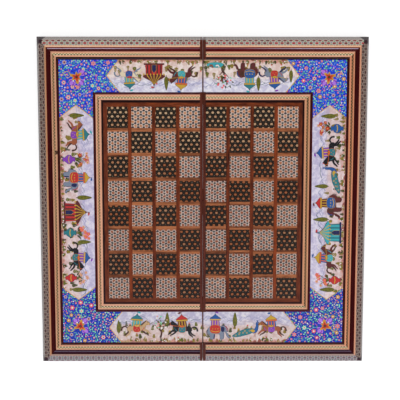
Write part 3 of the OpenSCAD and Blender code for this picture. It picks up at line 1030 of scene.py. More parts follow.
class PaintedPiece:
    """Raised shapes of paint on one panel, each stacked over those that it overlaps."""

    def __init__(self, name: str, half: Half) -> None:
        """Starts an empty piece that rides on a half."""
        self.name = name
        self.half = half
        self.mesh = bmesh.new()
        self.paint = self.mesh.verts.layers.float_color.new("paint")
        self.lift = self.mesh.verts.layers.float.new("lift")
        self.laid: list[tuple[float, float, float, float, int]] = []

    def lay(self, shapes: Iterable[Shape]) -> None:
        """Adds shapes, whose outlines are in the board's own millimetres."""
        for outline, paint in shapes:
            xs, ys = [p[0] for p in outline], [p[1] for p in outline]
            box = (min(xs), max(xs), min(ys), max(ys))
            under = [
                level for a, b, c, d, level in self.laid if a < box[1] and b > box[0] and c < box[3] and d > box[2]
            ]
            level = max(under, default=-1) + 1
            self.laid.append((*box, level))
            foot = (PLAN.border_top - PAINT_FOOT) * MM
            corners = [self.mesh.verts.new((x * MM, y * MM, foot)) for x, y in outline]
            for corner in corners:
                corner[self.paint] = paint
                corner[self.lift] = (LOWEST_PAINT + LAYER_STEP * level) * MM
            self.mesh.faces.new(corners)

    def trim(self, fence: Fence) -> None:
        """Cuts off what lies past the fence's lines, each a spot on it and the way out of it."""
        for (x, y), (out_x, out_y) in fence:
            bmesh.ops.bisect_plane(
                self.mesh, geom=[*self.mesh.verts, *self.mesh.edges, *self.mesh.faces], dist=1e-7,
                plane_co=(x * MM, y * MM, 0), plane_no=(out_x, out_y, 0), clear_outer=True,
            )

    def finish(self, material: bpy.types.Material) -> bpy.types.Object:
        """Raises the shapes and makes the object.

        Args:
            material: The paint's material.

        Returns:
            The finished piece, riding on its half.
        """
        raised = bmesh.ops.extrude_face_region(self.mesh, geom=self.mesh.faces[:])
        for part in raised["geom"]:
            if isinstance(part, bmesh.types.BMVert):
                part.co.z = PLAN.border_top * MM + part[self.lift]
        self.mesh.verts.layers.float.remove(self.mesh.verts.layers.float["lift"])
        bmesh.ops.recalc_face_normals(self.mesh, faces=self.mesh.faces[:])
        data = bpy.data.meshes.new(self.name)
        self.mesh.to_mesh(data)
        self.mesh.free()
        data.materials.append(material)
        piece = add_object(self.name, data)
        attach(piece, self.half.body)
        LOG.info("%s: %d shapes, %d faces", self.name, len(self.laid), len(data.polygons))
        return piece


@dataclass(frozen=True)
class Harness:
    """The four inks of a saddled animal or of a pavilion."""

    body: Ink
    dark: Ink
    cloth: Ink
    trim: Ink


def horse(look: Harness, load: Harness) -> Motif:
    """A saddled horse at the gallop with a litter on its back, 31 mm long."""
    art = Motif().add(litter(load), 12.8, 12.6, 0.95, -4)
    for path in (((19, 9), (22, 6), (24.8, 4.5), (26, 3)), ((5, 9), (3, 6), (0.5, 4), (-1.4, 3.2))):
        art.line(path, 2.2, 0.8, look.dark)
    art.line(((3, 11.8), (0, 13.2), (-2.8, 11.6), (-3.6, 8.2)), 1.2, 1.9, look.dark)
    body = (
        (3, 11.5), (5, 13.6), (9, 13.4), (14, 13), (18, 14), (21, 17), (23.5, 19.2), (25, 18.8), (27.6, 16.2),
        (27.2, 15), (25, 15.6), (23.6, 15.4), (22.4, 12.6), (21.4, 10), (18, 8.6), (12, 8.2), (8, 9), (4.5, 8),
        (2.6, 9.4),
    )
    art.fill(body, look.body, look.dark)
    for path in (((20, 9.8), (24.5, 8.4), (27, 5.8), (28.4, 4.8)), ((5.6, 9.4), (5.2, 5.6), (2.7, 3.2), (1.2, 1.6))):
        art.line(path, 2.6, 0.9, look.body)
    art.line(((17.4, 14), (20.4, 17), (23.6, 19.6)), 1.8, 0.9, look.dark).leaf(23.6, 18.8, 1.9, 78, look.body)
    cloth = ((10.2, 13.9), (15.4, 13.7), (16.8, 9.6), (15.6, 7.4), (11, 7.2), (9.2, 9.8))
    saddle = ((11, 13.6), (11.6, 15.3), (13.2, 14.5), (15, 15.6), (15.8, 13.6), (13.4, 12.8))
    art.fill(cloth, look.cloth, look.trim).fill(saddle, look.trim, look.dark)
    for x, y in ((11.4, 9.6), (13.2, 11.4), (14.8, 9.4)):
        art.dot(x, y, 0.55, look.trim, petals=4)
    for path in (((26.8, 15.6), (22, 14.6), (16, 14.2)), ((25.4, 18.4), (26.2, 17), (25.6, 15.6))):
        art.line(path, 0.4, 0.4, look.trim)
    art.line(((18.6, 8.9), (20.6, 10.8), (21.2, 12.8)), 0.6, 0.5, look.cloth)
    return art.dot(24.9, 17.5, 0.32, Ink.CHARCOAL)


def peacock() -> Motif:
    """A peacock with a long folded tail, 28 mm long."""
    tail = ((15, 9), (9, 9.6), (2, 8), (-6, 3.6), (-8, 1.4), (-3, 0.8), (5, 2.6), (12, 5))
    art = Motif().fill(tail, Ink.TEAL, Ink.NAVY)
    for x, y in ((-4.6, 2.4), (-1, 3.6), (3, 5.2), (-0.6, 5.4), (7, 5.2), (5, 7.2), (10, 7.4)):
        art.dot(x, y, 0.95, Ink.MUSTARD).dot(x, y, 0.5, Ink.BLUE)
    for x in (14.6, 16):
        art.line(((x, 5.4), (x + 0.4, 2.6), (x, 0.6)), 0.5, 0.4, Ink.RUST)
    body = (
        (12, 7.4), (15, 9.2), (16.6, 12), (16.8, 15.6), (18.2, 16.8), (19.6, 16), (18.6, 14.6), (18.8, 10),
        (17.2, 6), (13.4, 4.8),
    )
    art.fill(body, Ink.BLUE, Ink.NAVY).fill(((10.6, 8), (14, 8.8), (15.6, 7), (13.6, 5.4)), Ink.MUSTARD)
    art.leaf(19.2, 16.1, 1.6, -8, Ink.MUSTARD)
    for angle in (math.radians(degrees) for degrees in (70, 95, 120)):
        art.line(((18.2, 16.8), (18.2 + 2 * math.cos(angle), 16.8 + 2 * math.sin(angle))), 0.25, 0.5, Ink.BLUE)
    return art.dot(18.5, 15.9, 0.25, Ink.WHITE)


def pavilion(look: Harness) -> Motif:
    """A striped garden pavilion with a domed roof, 22 mm wide."""
    art = Motif()
    art.fill(((-1, 0), (19, 0), (19, 1.6), (-1, 1.6)), look.dark, steps=1)
    art.fill(((0.6, 1.6), (17.4, 1.6), (16.8, 11.4), (1.2, 11.4)), look.body, look.dark, steps=1)
    for x in (1.6, 5, 11.2, 14.6):
        art.fill(((x, 1.8), (x + 1.6, 1.8), (x + 1.6, 11.2), (x, 11.2)), look.cloth, steps=1)
    art.fill(((7, 1.6), (11, 1.6), (11, 6.8), (9, 9.4), (7, 6.8)), Ink.NAVY, look.trim, steps=1)
    roof = (
        (-1.4, 11.4), (1, 14.6), (5, 16.4), (8, 19.6), (9, 21.6), (10, 19.6), (13, 16.4), (17, 14.6), (19.4, 11.4),
    )
    art.fill(roof, look.cloth, look.dark, steps=2)
    for x in (2.2, 5.6, 9, 12.4, 15.8):
        art.line(((x, 11.8), (9 + (x - 9) * 0.55, 15.6), (9 + (x - 9) * 0.1, 20)), 0.9, 0.3, look.trim)
    for i in range(7):
        art.leaf(-0.8 + i * 3.3, 11.9, 2.2, -90, look.trim, 0.7)
    return art.line(((9, 21.2), (9, 24.2)), 0.4, 0.3, look.dark).leaf(9, 23.6, 3.4, -12, Ink.RED, 0.5)


def litter(look: Harness) -> Motif:
    """A curtained litter with a domed roof for the back of an animal, 13 mm wide and 17 mm high."""
    art = Motif().fill(((-5.4, 0), (5.4, 0), (4.6, 8.6), (-4.6, 8.6)), look.cloth, look.dark, steps=1)
    for x in (-3.4, 0, 3.4):
        art.line(((x, 0.4), (x * 0.9, 8.4)), 1.3, 0.9, look.trim)
    roof = ((-6.4, 8.4), (-4.6, 11.4), (-1.4, 13.4), (0, 15.4), (1.4, 13.4), (4.6, 11.4), (6.4, 8.4))
    art.fill(roof, look.body, look.dark, steps=2)
    art.fill(((-6.6, 7.6), (6.6, 7.6), (6.6, 9.2), (-6.6, 9.2)), look.trim, look.dark, steps=1)
    return art.line(((0, 14.4), (0, 18.4)), 0.5, 0.3, look.dark).leaf(0, 17.6, 4.4, -14, look.cloth, 0.5)


def elephant(look: Harness, load: Harness) -> Motif:
    """An elephant with a blanket and a litter, 29 mm long and 34 mm high."""
    art = Motif()
    for x in (6.4, 17.6):
        art.fill(((x, 9), (x + 3.6, 9), (x + 3.4, 1.4), (x + 0.4, 1.4)), look.dark, steps=2)
    art.add(litter(load), 10.6, 16.4)
    body = (
        (1, 9), (2, 14), (6, 17), (12, 17.4), (17, 16.4), (20, 17.4), (23.5, 16.4), (25.5, 13.5), (25.6, 10),
        (26.4, 6), (27.8, 3.6), (29, 3.8), (28.6, 2.2), (26.6, 2.2), (24.4, 5), (23, 9), (21.4, 9.6), (20.8, 7),
        (20.4, 0.8), (16.4, 0.8), (16, 6.6), (9, 6.6), (8.4, 0.8), (4.2, 0.8), (4, 6), (2, 6.4),
    )
    art.fill(body, look.body, look.dark, steps=2)
    art.fill(((5.2, 17.2), (15.4, 17.2), (16.2, 9.4), (10.8, 7.8), (4.8, 9.6)), look.cloth, look.trim)
    art.line(((5.4, 11.2), (10.8, 9.6), (15.6, 11)), 0.9, 0.9, look.trim)
    for x in (7.4, 10.6, 13.8):
        art.dot(x, 13.4, 0.9, look.trim, petals=5)
    art.fill(((17.8, 15.8), (21.2, 15.4), (21.8, 12), (20, 9.4), (17.6, 11.2)), look.dark, look.body)
    art.line(((22.2, 17), (24.6, 14.6), (24.8, 11)), 0.8, 0.7, look.cloth)
    art.leaf(24.4, 9.2, 3.6, -24, Ink.WHITE, 0.3)
    art.line(((1.4, 12.6), (0, 9.6), (0.4, 6.4)), 0.7, 0.4, look.dark)
    return art.dot(23, 13.8, 0.4, Ink.CHARCOAL)


def vase(seed: int, body: Ink, flower: Ink) -> Motif:
    """A tall vase of flowers, 16 mm wide and 30 mm high."""
    chance = random.Random(seed).uniform
    art = Motif()
    for i in range(9):
        art.line(((0, 11), (chance(-1, 1), 16), (-6.4 + i * 1.6, 22 + chance(-3, 3))), 0.5, 0.4, Ink.OLIVE)
        art.leaf(-3 + i * 0.8, 14 + chance(-1, 3), 4.6, 150 - i * 15, Ink.MOSS, 0.4)
    form = (
        (-2.4, 0), (2.4, 0), (1.6, 1.6), (4.6, 5.4), (4.2, 9), (1.6, 11), (2.6, 13), (-2.6, 13), (-1.6, 11),
        (-4.2, 9), (-4.6, 5.4), (-1.6, 1.6),
    )
    art.fill(form, body, Ink.NAVY, steps=2).line(((-4, 7), (0, 6.2), (4, 7)), 1.0, 1.0, Ink.MUSTARD)
    for i in range(9):
        x, y, reach = -6.4 + i * 1.6, 21.5 + chance(-5, 6), chance(1.9, 2.7)
        art.dot(x, y, reach, flower if i % 3 else Ink.PINK, petals=5, turn=i).dot(x, y, 0.8, Ink.MUSTARD)
    return art


def cypress() -> Motif:
    """A slim cypress, 21 mm high."""
    crown = ((0, 1.4), (2.1, 3.4), (2.9, 9), (1.8, 15.6), (0, 21), (-1.8, 15.6), (-2.9, 9), (-2.1, 3.4))
    art = Motif().line(((0, -0.6), (0, 3)), 0.8, 0.8, Ink.UMBER).fill(crown, Ink.OLIVE, Ink.MOSS)
    for i in range(6):
        ink = Ink.MOSS if i % 2 else Ink.BRONZE
        art.leaf(-1.5 + (i % 3) * 1.3, 3 + i * 2.4, 3.4, 84 + 6 * (i % 3), ink, 0.26)
    return art


def blossom_tree(seed: int, flower: Ink) -> Motif:
    """A crooked tree in blossom, 22 mm high."""
    dice = random.Random(seed)
    art = Motif().line(((0, 0), (1.2, 5), (-0.6, 9), (0.8, 14), (0, 17)), 1.9, 0.5, Ink.UMBER)
    for x, y in ((-5.4, 12.6), (5.6, 12), (-4, 17.6), (4.8, 17.4)):
        art.line(((0, y - 6), (x * 0.5, y - 3), (x, y)), 0.9, 0.3, Ink.UMBER)
    for _ in range(30):
        angle, reach = dice.uniform(0, 2 * math.pi), math.sqrt(dice.random())
        x, y = 7.4 * reach * math.cos(angle), 15 + 6.4 * reach * math.sin(angle)
        if dice.random() < 0.42:
            length, turn = dice.uniform(1.8, 2.8), dice.uniform(0, 360)
            art.leaf(x, y, length, turn, dice.choice((Ink.OLIVE, Ink.MOSS, Ink.MINT)), 0.5)
        else:
            art.dot(x, y, dice.uniform(0.8, 1.25), dice.choice((flower, flower, Ink.WHITE)), petals=5)
    return art


def pond() -> Motif:
    """A small pond with two ducks, 26 mm wide."""
    bank = ((0, 3), (3, 6.4), (9, 7.6), (17, 7.2), (24, 5.6), (26, 3), (22, 0.6), (13, -0.4), (4, 0.4))
    art = Motif().fill(bank, Ink.TURQUOISE, Ink.OLIVE)
    for x, y, reach in ((4, 4.6, 7), (12, 5.8, 9), (7, 2.2, 8), (16, 2.6, 6)):
        art.line(((x, y), (x + reach / 2, y + 0.5), (x + reach, y)), 0.3, 0.5, Ink.BLUE)
    wing = ((0, 4), (0.6, 6.2), (2.4, 5.2), (5, 6), (5.2, 4.4), (3, 3))
    head = ((-0.4, 6), (0.6, 5.4), (1.2, 6.8), (0.6, 7.8), (-0.4, 7.2), (-1.6, 6.8))
    for start, ink in ((7, Ink.WHITE), (16.6, Ink.RUST)):
        for part in (wing, head):
            art.fill([(start + x, y) for x, y in part], ink, Ink.UMBER)
    for x in (1.6, 23.6):
        for angle in (62, 84, 104):
            art.leaf(x, 4.4, 5.6, angle, Ink.OLIVE, 0.2)
    return art


def herb(seed: int) -> Motif:
    """A small upright plant with pairs of leaves, 5 to 9 mm high."""
    dice = random.Random(seed)
    high = dice.uniform(4.5, 8.5)
    ink = dice.choice((Ink.OLIVE, Ink.BRONZE, Ink.MOSS, Ink.BRONZE))
    art = Motif().line(((0, 0), (dice.uniform(-0.5, 0.5), high * 0.5), (0, high)), 0.8, 0.4, ink)
    for i in range(4):
        for side in (-1, 1):
            art.leaf(0, high * (0.08 + 0.24 * i), 3.0 - 0.4 * i, 90 - side * (52 - 6 * i), ink, 0.6)
    if seed % 2:
        art.dot(0, high, dice.uniform(0.9, 1.3), dice.choice((Ink.RED, Ink.WHITE, Ink.CORAL, Ink.MUSTARD)), petals=5)
    return art


def rocks(seed: int) -> Motif:
    """A low bank of earth and rounded rocks with plants on it, 12 to 20 mm wide."""
    dice = random.Random(seed)
    chance = dice.uniform
    art = Motif()
    x = 0.0
    for _ in range(3):
        wide, high = chance(5, 8), chance(2.4, 5.2)
        ink = dice.choice((Ink.ROSE_EARTH, Ink.ROSE_EARTH, Ink.SAND, Ink.BRICK))
        lump = (
            (x, -1), (x + 0.3, high * 0.6), (x + wide * 0.3, high), (x + wide * 0.6, high * 0.8),
            (x + wide, high * 0.3), (x + wide, -1),
        )
        art.fill(lump, ink, steps=2)
        art.line(((x + wide * 0.25, high * 0.3), (x + wide * 0.6, high * 0.5)), 0.6, 0.3, Ink.MAROON)
        x += wide * 0.8
    for _ in range(3):
        art.add(herb(dice.randrange(999)), chance(0, x), chance(0.6, 2), chance(0.7, 1.0), chance(-20, 20))
    for _ in range(4):
        art.dot(chance(0, x), chance(1.5, 5), chance(0.8, 1.2), dice.choice((Ink.WHITE, Ink.PINK)), petals=5)
    return art


def mist(seed: int) -> Motif:
    """Strokes of mist and far hills, about 24 mm wide."""
    rise = random.Random(seed).uniform(2, 6)
    far = (Ink.LAVENDER, Ink.SLATE, Ink.LAVENDER)[seed % 3]
    art = Motif().line(((0, 0), (6, rise), (12, rise * 0.7), (18, rise * 1.4), (25, 0.4)), 1.0, 0.5, far)
    art.line(((4, -1.6), (9, rise - 2), (15, rise * 0.5 - 2), (21, -1)), 0.7, 0.4, Ink.LAVENDER)
    if seed % 2 == 0:
        art.line(((6, 6), (9, 8.6), (12, 7.2), (10.6, 5.6), (8.6, 6.8)), 0.8, 0.5, Ink.WHITE)
        art.line(((14, 5), (18, 7.4), (22, 6.6)), 0.6, 0.4, Ink.SLATE)
    return art


GREY = Harness(Ink.SLATE, Ink.NAVY, Ink.RED, Ink.MUSTARD)
EARTHEN = Harness(Ink.MAROON, Ink.UMBER, Ink.BLUE, Ink.MUSTARD)
BAY = Harness(Ink.MAROON, Ink.UMBER, Ink.TURQUOISE, Ink.MUSTARD)
BLACK = Harness(Ink.CHARCOAL, Ink.CHARCOAL, Ink.TEAL, Ink.ORANGE)
CHESTNUT = Harness(Ink.RUST, Ink.UMBER, Ink.PURPLE, Ink.MUSTARD)
DUN = Harness(Ink.SAND, Ink.UMBER, Ink.RED, Ink.GOLD)
PALE = Harness(Ink.CREAM, Ink.SLATE, Ink.BLUE, Ink.RED)
TEAL_TENT = Harness(Ink.TEAL, Ink.NAVY, Ink.TURQUOISE, Ink.MUSTARD)
RED_TENT = Harness(Ink.RED, Ink.MAROON, Ink.MAROON, Ink.MUSTARD)
BLUE_TENT = Harness(Ink.MUSTARD, Ink.NAVY, Ink.BLUE, Ink.ORANGE)
PURPLE_TENT = Harness(Ink.BLUE, Ink.NAVY, Ink.PURPLE, Ink.GOLD)


@dataclass(frozen=True)
class Cast:
    """One figure of a picture: its motif, the middle of its foot along the panel and up it, its size and its way."""

    motif: Motif
    along: float
    up: float
    size: float
    flip: bool = False


def tip_back(share: float) -> float:
    """How far the outline of a pointed end lies behind its tip, at a share of the way to the panel's side."""
    return PLAN.tip_length * (share - PLAN.tip_swell * math.sin(math.pi * share))


class Edge(Enum):
    """The four sides of the painted border, with the quarter turns from the near side."""

    NEAR = 0
    RIGHT = 1
    BACK = 2
    LEFT = 3

    @property
    def inner(self) -> float:
        """Distance of the picture's inner side from the middle of the board."""
        return PLAN.border_in if self.value % 2 else PLAN.border_end_in

    @property
    def tip(self) -> float:
        """Distance of the picture's points from the middle of its length."""
        return PLAN.side_tip if self.value % 2 else PLAN.end_tip

    def pointed_end(self) -> Outline:
        """Returns one end of the picture, along it and up from its inner side."""
        high = PLAN.border_out - self.inner
        shares = [i / TIP_STEPS for i in range(-TIP_STEPS, TIP_STEPS + 1)]
        return [(self.tip - tip_back(abs(share)), (1 + share) * high / 2) for share in shares]


MISTS, HERBS = 14, 44
END_GAP = 12


@dataclass(frozen=True)
class PicturePanel:
    """One picture panel with its pointed ends, seen with its foot at the outer edge of the board.

    Attributes:
        edge: The side of the board it lies on.
        cast: The figures on it.
    """

    edge: Edge
    cast: tuple[Cast, ...]

    def outline(self) -> Outline:
        """Returns the panel's outline along it and up it."""
        ends = self.edge.pointed_end()
        return ends + [(-along, up) for along, up in reversed(ends)]

    def on_board(self, outline: Outline) -> Outline:
        """Turns an outline along and up the panel into the board's own millimetres."""
        turned = [(along, up - PLAN.border_out) for along, up in outline]
        for _ in range(self.edge.value):
            turned = [(-y, x) for x, y in turned]
        return turned

    def fence(self, half: Half) -> Fence:
        """Returns the lines at which the paint of a half ends."""
        inset = [Vector(spot) for spot in self.on_board(grown(self.outline(), -PICTURE_INSET))]
        lines: Fence = []
        for a, b in zip(inset, inset[1:] + inset[:1]):
            run = b - a
            if run.length > 1e-6:
                lines.append(((a.x, a.y), (run.y, -run.x)))
        lines.append(((half.value * (PLAN.border_edge + SEAM_INSET), 0.0), (-half.value, 0.0)))
        return lines + FRAME_FENCE

    def picture(self) -> list[Shape]:
        """Returns all the shapes of the picture in the board's own millimetres."""
        dice = random.Random(17 * self.edge.value + 5)
        chance, seed = dice.uniform, dice.randrange
        view = Motif()
        reach = self.edge.tip - END_GAP
        for i in range(MISTS):
            view.add(mist(seed(99)), -reach + i * 2 * reach / MISTS, 31 + chance(-3, 5), chance(0.8, 1.2))
        spot = -reach - 4
        while spot < reach:
            view.add(rocks(seed(999)), spot, 0.6, chance(0.8, 1.15))
            spot += chance(13, 19)
        for i in range(HERBS):
            along, up = -reach + (i + dice.random()) * 2 * reach / HERBS, chance(6, 27)
            view.add(herb(seed(999)), along, up, chance(0.95, 1.35), chance(-12, 12))
        for figure in sorted(self.cast, key=lambda one: -one.up):
            middle = figure.motif.middle() * figure.size * (-1 if figure.flip else 1)
            view.add(figure.motif, figure.along - middle, figure.up, figure.size, flip=figure.flip)
        return [(self.on_board(outline), paint) for outline, paint in view.shapes]


PANELS = (
    PicturePanel(Edge.NEAR, (
        Cast(cypress(), -128, 14, 1.0), Cast(horse(DUN, TEAL_TENT), -102, 7, 1.4),
        Cast(blossom_tree(3, Ink.PINK), -66, 8, 1.6), Cast(cypress(), -54, 24, 1.1),
        Cast(horse(BLACK, RED_TENT), -30, 6, 1.4, True), Cast(elephant(GREY, PURPLE_TENT), 24, 5, 1.25),
        Cast(cypress(), 49, 24, 1.1), Cast(peacock(), 66, 8, 1.45),
        Cast(horse(CHESTNUT, BLUE_TENT), 106, 7, 1.35, True),
    )),
    PicturePanel(Edge.RIGHT, (
        Cast(cypress(), -131, 13, 1.1), Cast(vase(2, Ink.RED, Ink.CORAL), -116, 5, 1.3),
        Cast(horse(BAY, BLUE_TENT), -84, 7, 1.4), Cast(pavilion(TEAL_TENT), -44, 5, 1.6),
        Cast(cypress(), -24, 24, 1.1), Cast(elephant(EARTHEN, RED_TENT), -4, 5, 1.25, True),
        Cast(peacock(), 36, 7, 1.45), Cast(cypress(), 26, 25, 1.0), Cast(horse(BLACK, PURPLE_TENT), 78, 6, 1.4, True),
        Cast(vase(8, Ink.BLUE, Ink.RED), 112, 5, 1.35), Cast(cypress(), 130, 15, 1.1),
    )),
    PicturePanel(Edge.BACK, (
        Cast(cypress(), -130, 15, 0.9), Cast(horse(GREY, PURPLE_TENT), -104, 7, 1.35, True),
        Cast(elephant(EARTHEN, TEAL_TENT), -64, 5, 1.25), Cast(cypress(), -82, 25, 1.0),
        Cast(blossom_tree(14, Ink.CORAL), -32, 7, 1.65), Cast(pond(), -18, 5, 0.95),
        Cast(horse(BAY, BLUE_TENT), 30, 7, 1.4), Cast(cypress(), 54, 24, 1.0), Cast(pavilion(RED_TENT), 72, 6, 1.5),
        Cast(horse(PALE, TEAL_TENT), 110, 8, 1.3, True),
    )),
    PicturePanel(Edge.LEFT, (
        Cast(cypress(), -131, 14, 1.1), Cast(horse(CHESTNUT, TEAL_TENT), -101, 7, 1.4, True),
        Cast(vase(5, Ink.PURPLE, Ink.RED), -66, 5, 1.35), Cast(elephant(GREY, BLUE_TENT), -34, 5, 1.25),
        Cast(cypress(), -9, 24, 1.1), Cast(pavilion(RED_TENT), 13, 5, 1.6),
        Cast(vase(6, Ink.TEAL, Ink.CORAL), 44, 5, 1.35), Cast(cypress(), 58, 24, 1.0),
        Cast(horse(BLACK, PURPLE_TENT), 80, 7, 1.35), Cast(vase(9, Ink.RED, Ink.PINK), 113, 6, 1.25),
        Cast(cypress(), 131, 15, 1.1),
    )),
)
ROSETTES = (
    (Ink.SALMON, Ink.WHITE, Ink.BLUE), (Ink.CORAL, Ink.PINK, Ink.WHITE), (Ink.SALMON, Ink.LAVENDER, Ink.CORAL),
    (Ink.MINT, Ink.WHITE, Ink.CORAL), (Ink.SALMON, Ink.CORAL, Ink.SKY), (Ink.MUSTARD, Ink.ORANGE, Ink.WHITE),
    (Ink.LAVENDER, Ink.SALMON, Ink.NAVY),
)
SPRAY_PLACE, SPRAY_REACH = (27, 26), 10.5
CORNER_SPAN, SPOTS = 90, 9000
# Least and most reach of the flowers of each round, and how many spots it tries. The last round is for sprigs.
ROUNDS = ((3.4, 4.6, 36), (1.5, 2.3, 330), (0.0, 0.0, SPOTS))
SPRIG_REACH, SPRIG_MARGIN, SPRIG_GAP, FLOWER_GAP = 1.2, 0.9, 0.1, 0.6
GOLD_LINE = 1.1


class CornerFlowers:
    """The flowers, leaves and scrolls of one blue corner, and the gold line on the points beside it."""

    def __init__(self, half: Half, end: Edge) -> None:
        """Keeps the corner's half and its end of the board."""
        self.half = half
        self.end = end
        self.dice = random.Random(31 * half.value + 7 * end.value + 100)

    def inside(self, across: float, along: float, margin: float) -> bool:
        """Whether a spot lies on the blue, at least a margin from its edges."""
        if max(across, along) > PLAN.border_out - margin:
            return False
        if across < PLAN.border_in + margin and along < PLAN.border_end_in + margin:
            return False
        for out, run, edge in ((across, along, Edge.RIGHT), (along, across, self.end)):
            share = abs(out - (edge.inner + PLAN.border_out) / 2) / (PLAN.border_out - edge.inner) * 2
            if out > edge.inner and run < edge.tip - tip_back(share) + margin * 1.3:
                return False
        return True

    def spray(self) -> Motif:
        """The big flower in the middle of the corner, with two blossoms and scrolls beside it."""
        art = Motif()
        for x, y, way in ((13.5, 2.5, 1), (1.5, -14.5, -1)):
            turns = [(6.8 - 0.36 * i, 0.5 * i) for i in range(16)]
            path = [(x + way * reach * math.cos(angle), y + reach * math.sin(angle)) for reach, angle in turns]
            art.line(path, 0.9, 0.5, Ink.GOLD)
            art.dot(*path[-1], 1.8, Ink.CORAL, petals=5).dot(*path[-1], 0.7, Ink.WHITE)
        for x, y, angle in ((-5.4, 4.8, 138), (4.8, -5.6, 311), (-4.4, -5.6, 232)):
            for i in (-2, 2, -1, 1, 0):
                art.leaf(x, y, 8.4 - 0.7 * abs(i), angle + 30 * i, Ink.PURPLE if i % 2 else Ink.LILAC, 0.66)
            art.dot(x, y, 1.5, Ink.WHITE, petals=5)
        for length, width, ink in ((1.0, 0.5, Ink.MUSTARD), (0.72, 0.52, Ink.ORANGE), (0.54, 0.5, Ink.RED)):
            for i, reach in enumerate((11.0, 8.2, 10.2, 7.6, 11.2, 8.6)):
                art.leaf(0, 0, reach * length, 20 + 60 * i + 9 * (i % 2), ink, width)
        return art.dot(0, 0, 2.3, Ink.CHARCOAL, petals=6).dot(0, 0, 0.8, Ink.OLIVE)

    def rosette(self, reach: float) -> Motif:
        """A flower with petals of a given length round a ring and a middle."""
        petals, ring, heart = self.dice.choice(ROSETTES)
        art = Motif().dot(0, 0, reach, petals, petals=6 if reach > 3 else 5)
        return art.dot(0, 0, reach * 0.56, ring, petals=5, turn=0.5).dot(0, 0, reach * 0.28, heart)

    def sprig(self) -> Motif:
        """One of the small things between the flowers."""
        art, throw = Motif(), self.dice.random()
        pick, size = self.dice.choice, self.dice.uniform
        if throw < 0.36:
            return art.leaf(-1.8, 0, size(3.1, 4.3), 0, pick((Ink.MINT, Ink.FERN, Ink.MINT)), 0.56)
        if throw < 0.50:
            return art.dot(0, 0, size(0.9, 1.4), pick((Ink.CORAL, Ink.PINK, Ink.CORAL)), petals=4)
        if throw < 0.66:
            return art.dot(0, 0, size(0.8, 1.15), pick((Ink.WHITE, Ink.CREAM, Ink.MINT)))
        if throw < 0.74:
            return art.leaf(-1.2, 0, 2.6, 0, pick((Ink.MUSTARD, Ink.GOLD, Ink.LILAC)), 0.5)
        ink = pick((Ink.MINT, Ink.SKY, Ink.TURQUOISE, Ink.CREAM))
        return art.line(((-2.0, 0), (-0.4, 0.9), (1.8, 0.2)), 0.7, 0.45, ink)

    def paint(self) -> list[Shape]:
        """Returns the corner's shapes in the board's own millimetres."""
        work, chance = Motif(), self.dice.uniform
        out = PLAN.border_out
        middle = (out - SPRAY_PLACE[0], out - SPRAY_PLACE[1])
        taken = [(*middle, SPRAY_REACH)]
        spots = [(out - chance(0, CORNER_SPAN), out - chance(0, CORNER_SPAN)) for _ in range(SPOTS)]
        for least, most, tries in ROUNDS:
            for across, along in spots[:tries]:
                reach = chance(least, most) if most else SPRIG_REACH
                if not self.inside(across, along, reach if most else SPRIG_MARGIN):
                    continue
                gap = reach + (FLOWER_GAP if most else SPRIG_GAP)
                if any(math.hypot(across - x, along - y) < gap + r for x, y, r in taken):
                    continue
                taken.append((across, along, reach))
                work.add(self.rosette(reach) if most else self.sprig(), across, along, 1.0, chance(0, 360))
        work.add(self.spray(), *middle)
        for edge in (Edge.RIGHT, self.end):
            path = [(along, edge.inner + up) for along, up in edge.pointed_end()]
            work.line(path if edge is self.end else [(b, a) for a, b in path], GOLD_LINE, GOLD_LINE, Ink.GOLD)
        sign_y = 1 if self.end is Edge.BACK else -1
        return [([(x * self.half.value, y * sign_y) for x, y in outline], paint) for outline, paint in work.shapes]


class PaintedBorder:
    """All the paint on the border, in pieces that ride on the two halves."""

    def build(self) -> None:
        """Makes the pieces."""
        material = BrushedPaint("Brushed_paint").build()
        for half in Half:
            for panel in PANELS:
                if panel.edge in (Edge[half.name], Edge.NEAR, Edge.BACK):
                    piece = PaintedPiece(f"{half.body}_{panel.edge.name.lower()}_picture", half)
                    piece.lay(shape for shape in panel.picture() if self.on_half(shape, half))
                    piece.trim(panel.fence(half))
                    piece.finish(material)
            for end in (Edge.NEAR, Edge.BACK):
                piece = PaintedPiece(f"{half.body}_{end.name.lower()}_flowers", half)
                piece.lay(CornerFlowers(half, end).paint())
                piece.trim(FRAME_FENCE)
                piece.finish(material)

    def on_half(self, shape: Shape, half: Half) -> bool:
        """Whether some of a shape lies on a half."""
        return any(x * half.value > PLAN.border_edge for x, _ in shape[0])


# Studio

FLOOR_HALF = 12.0
SHADOW_REACH = 4.0


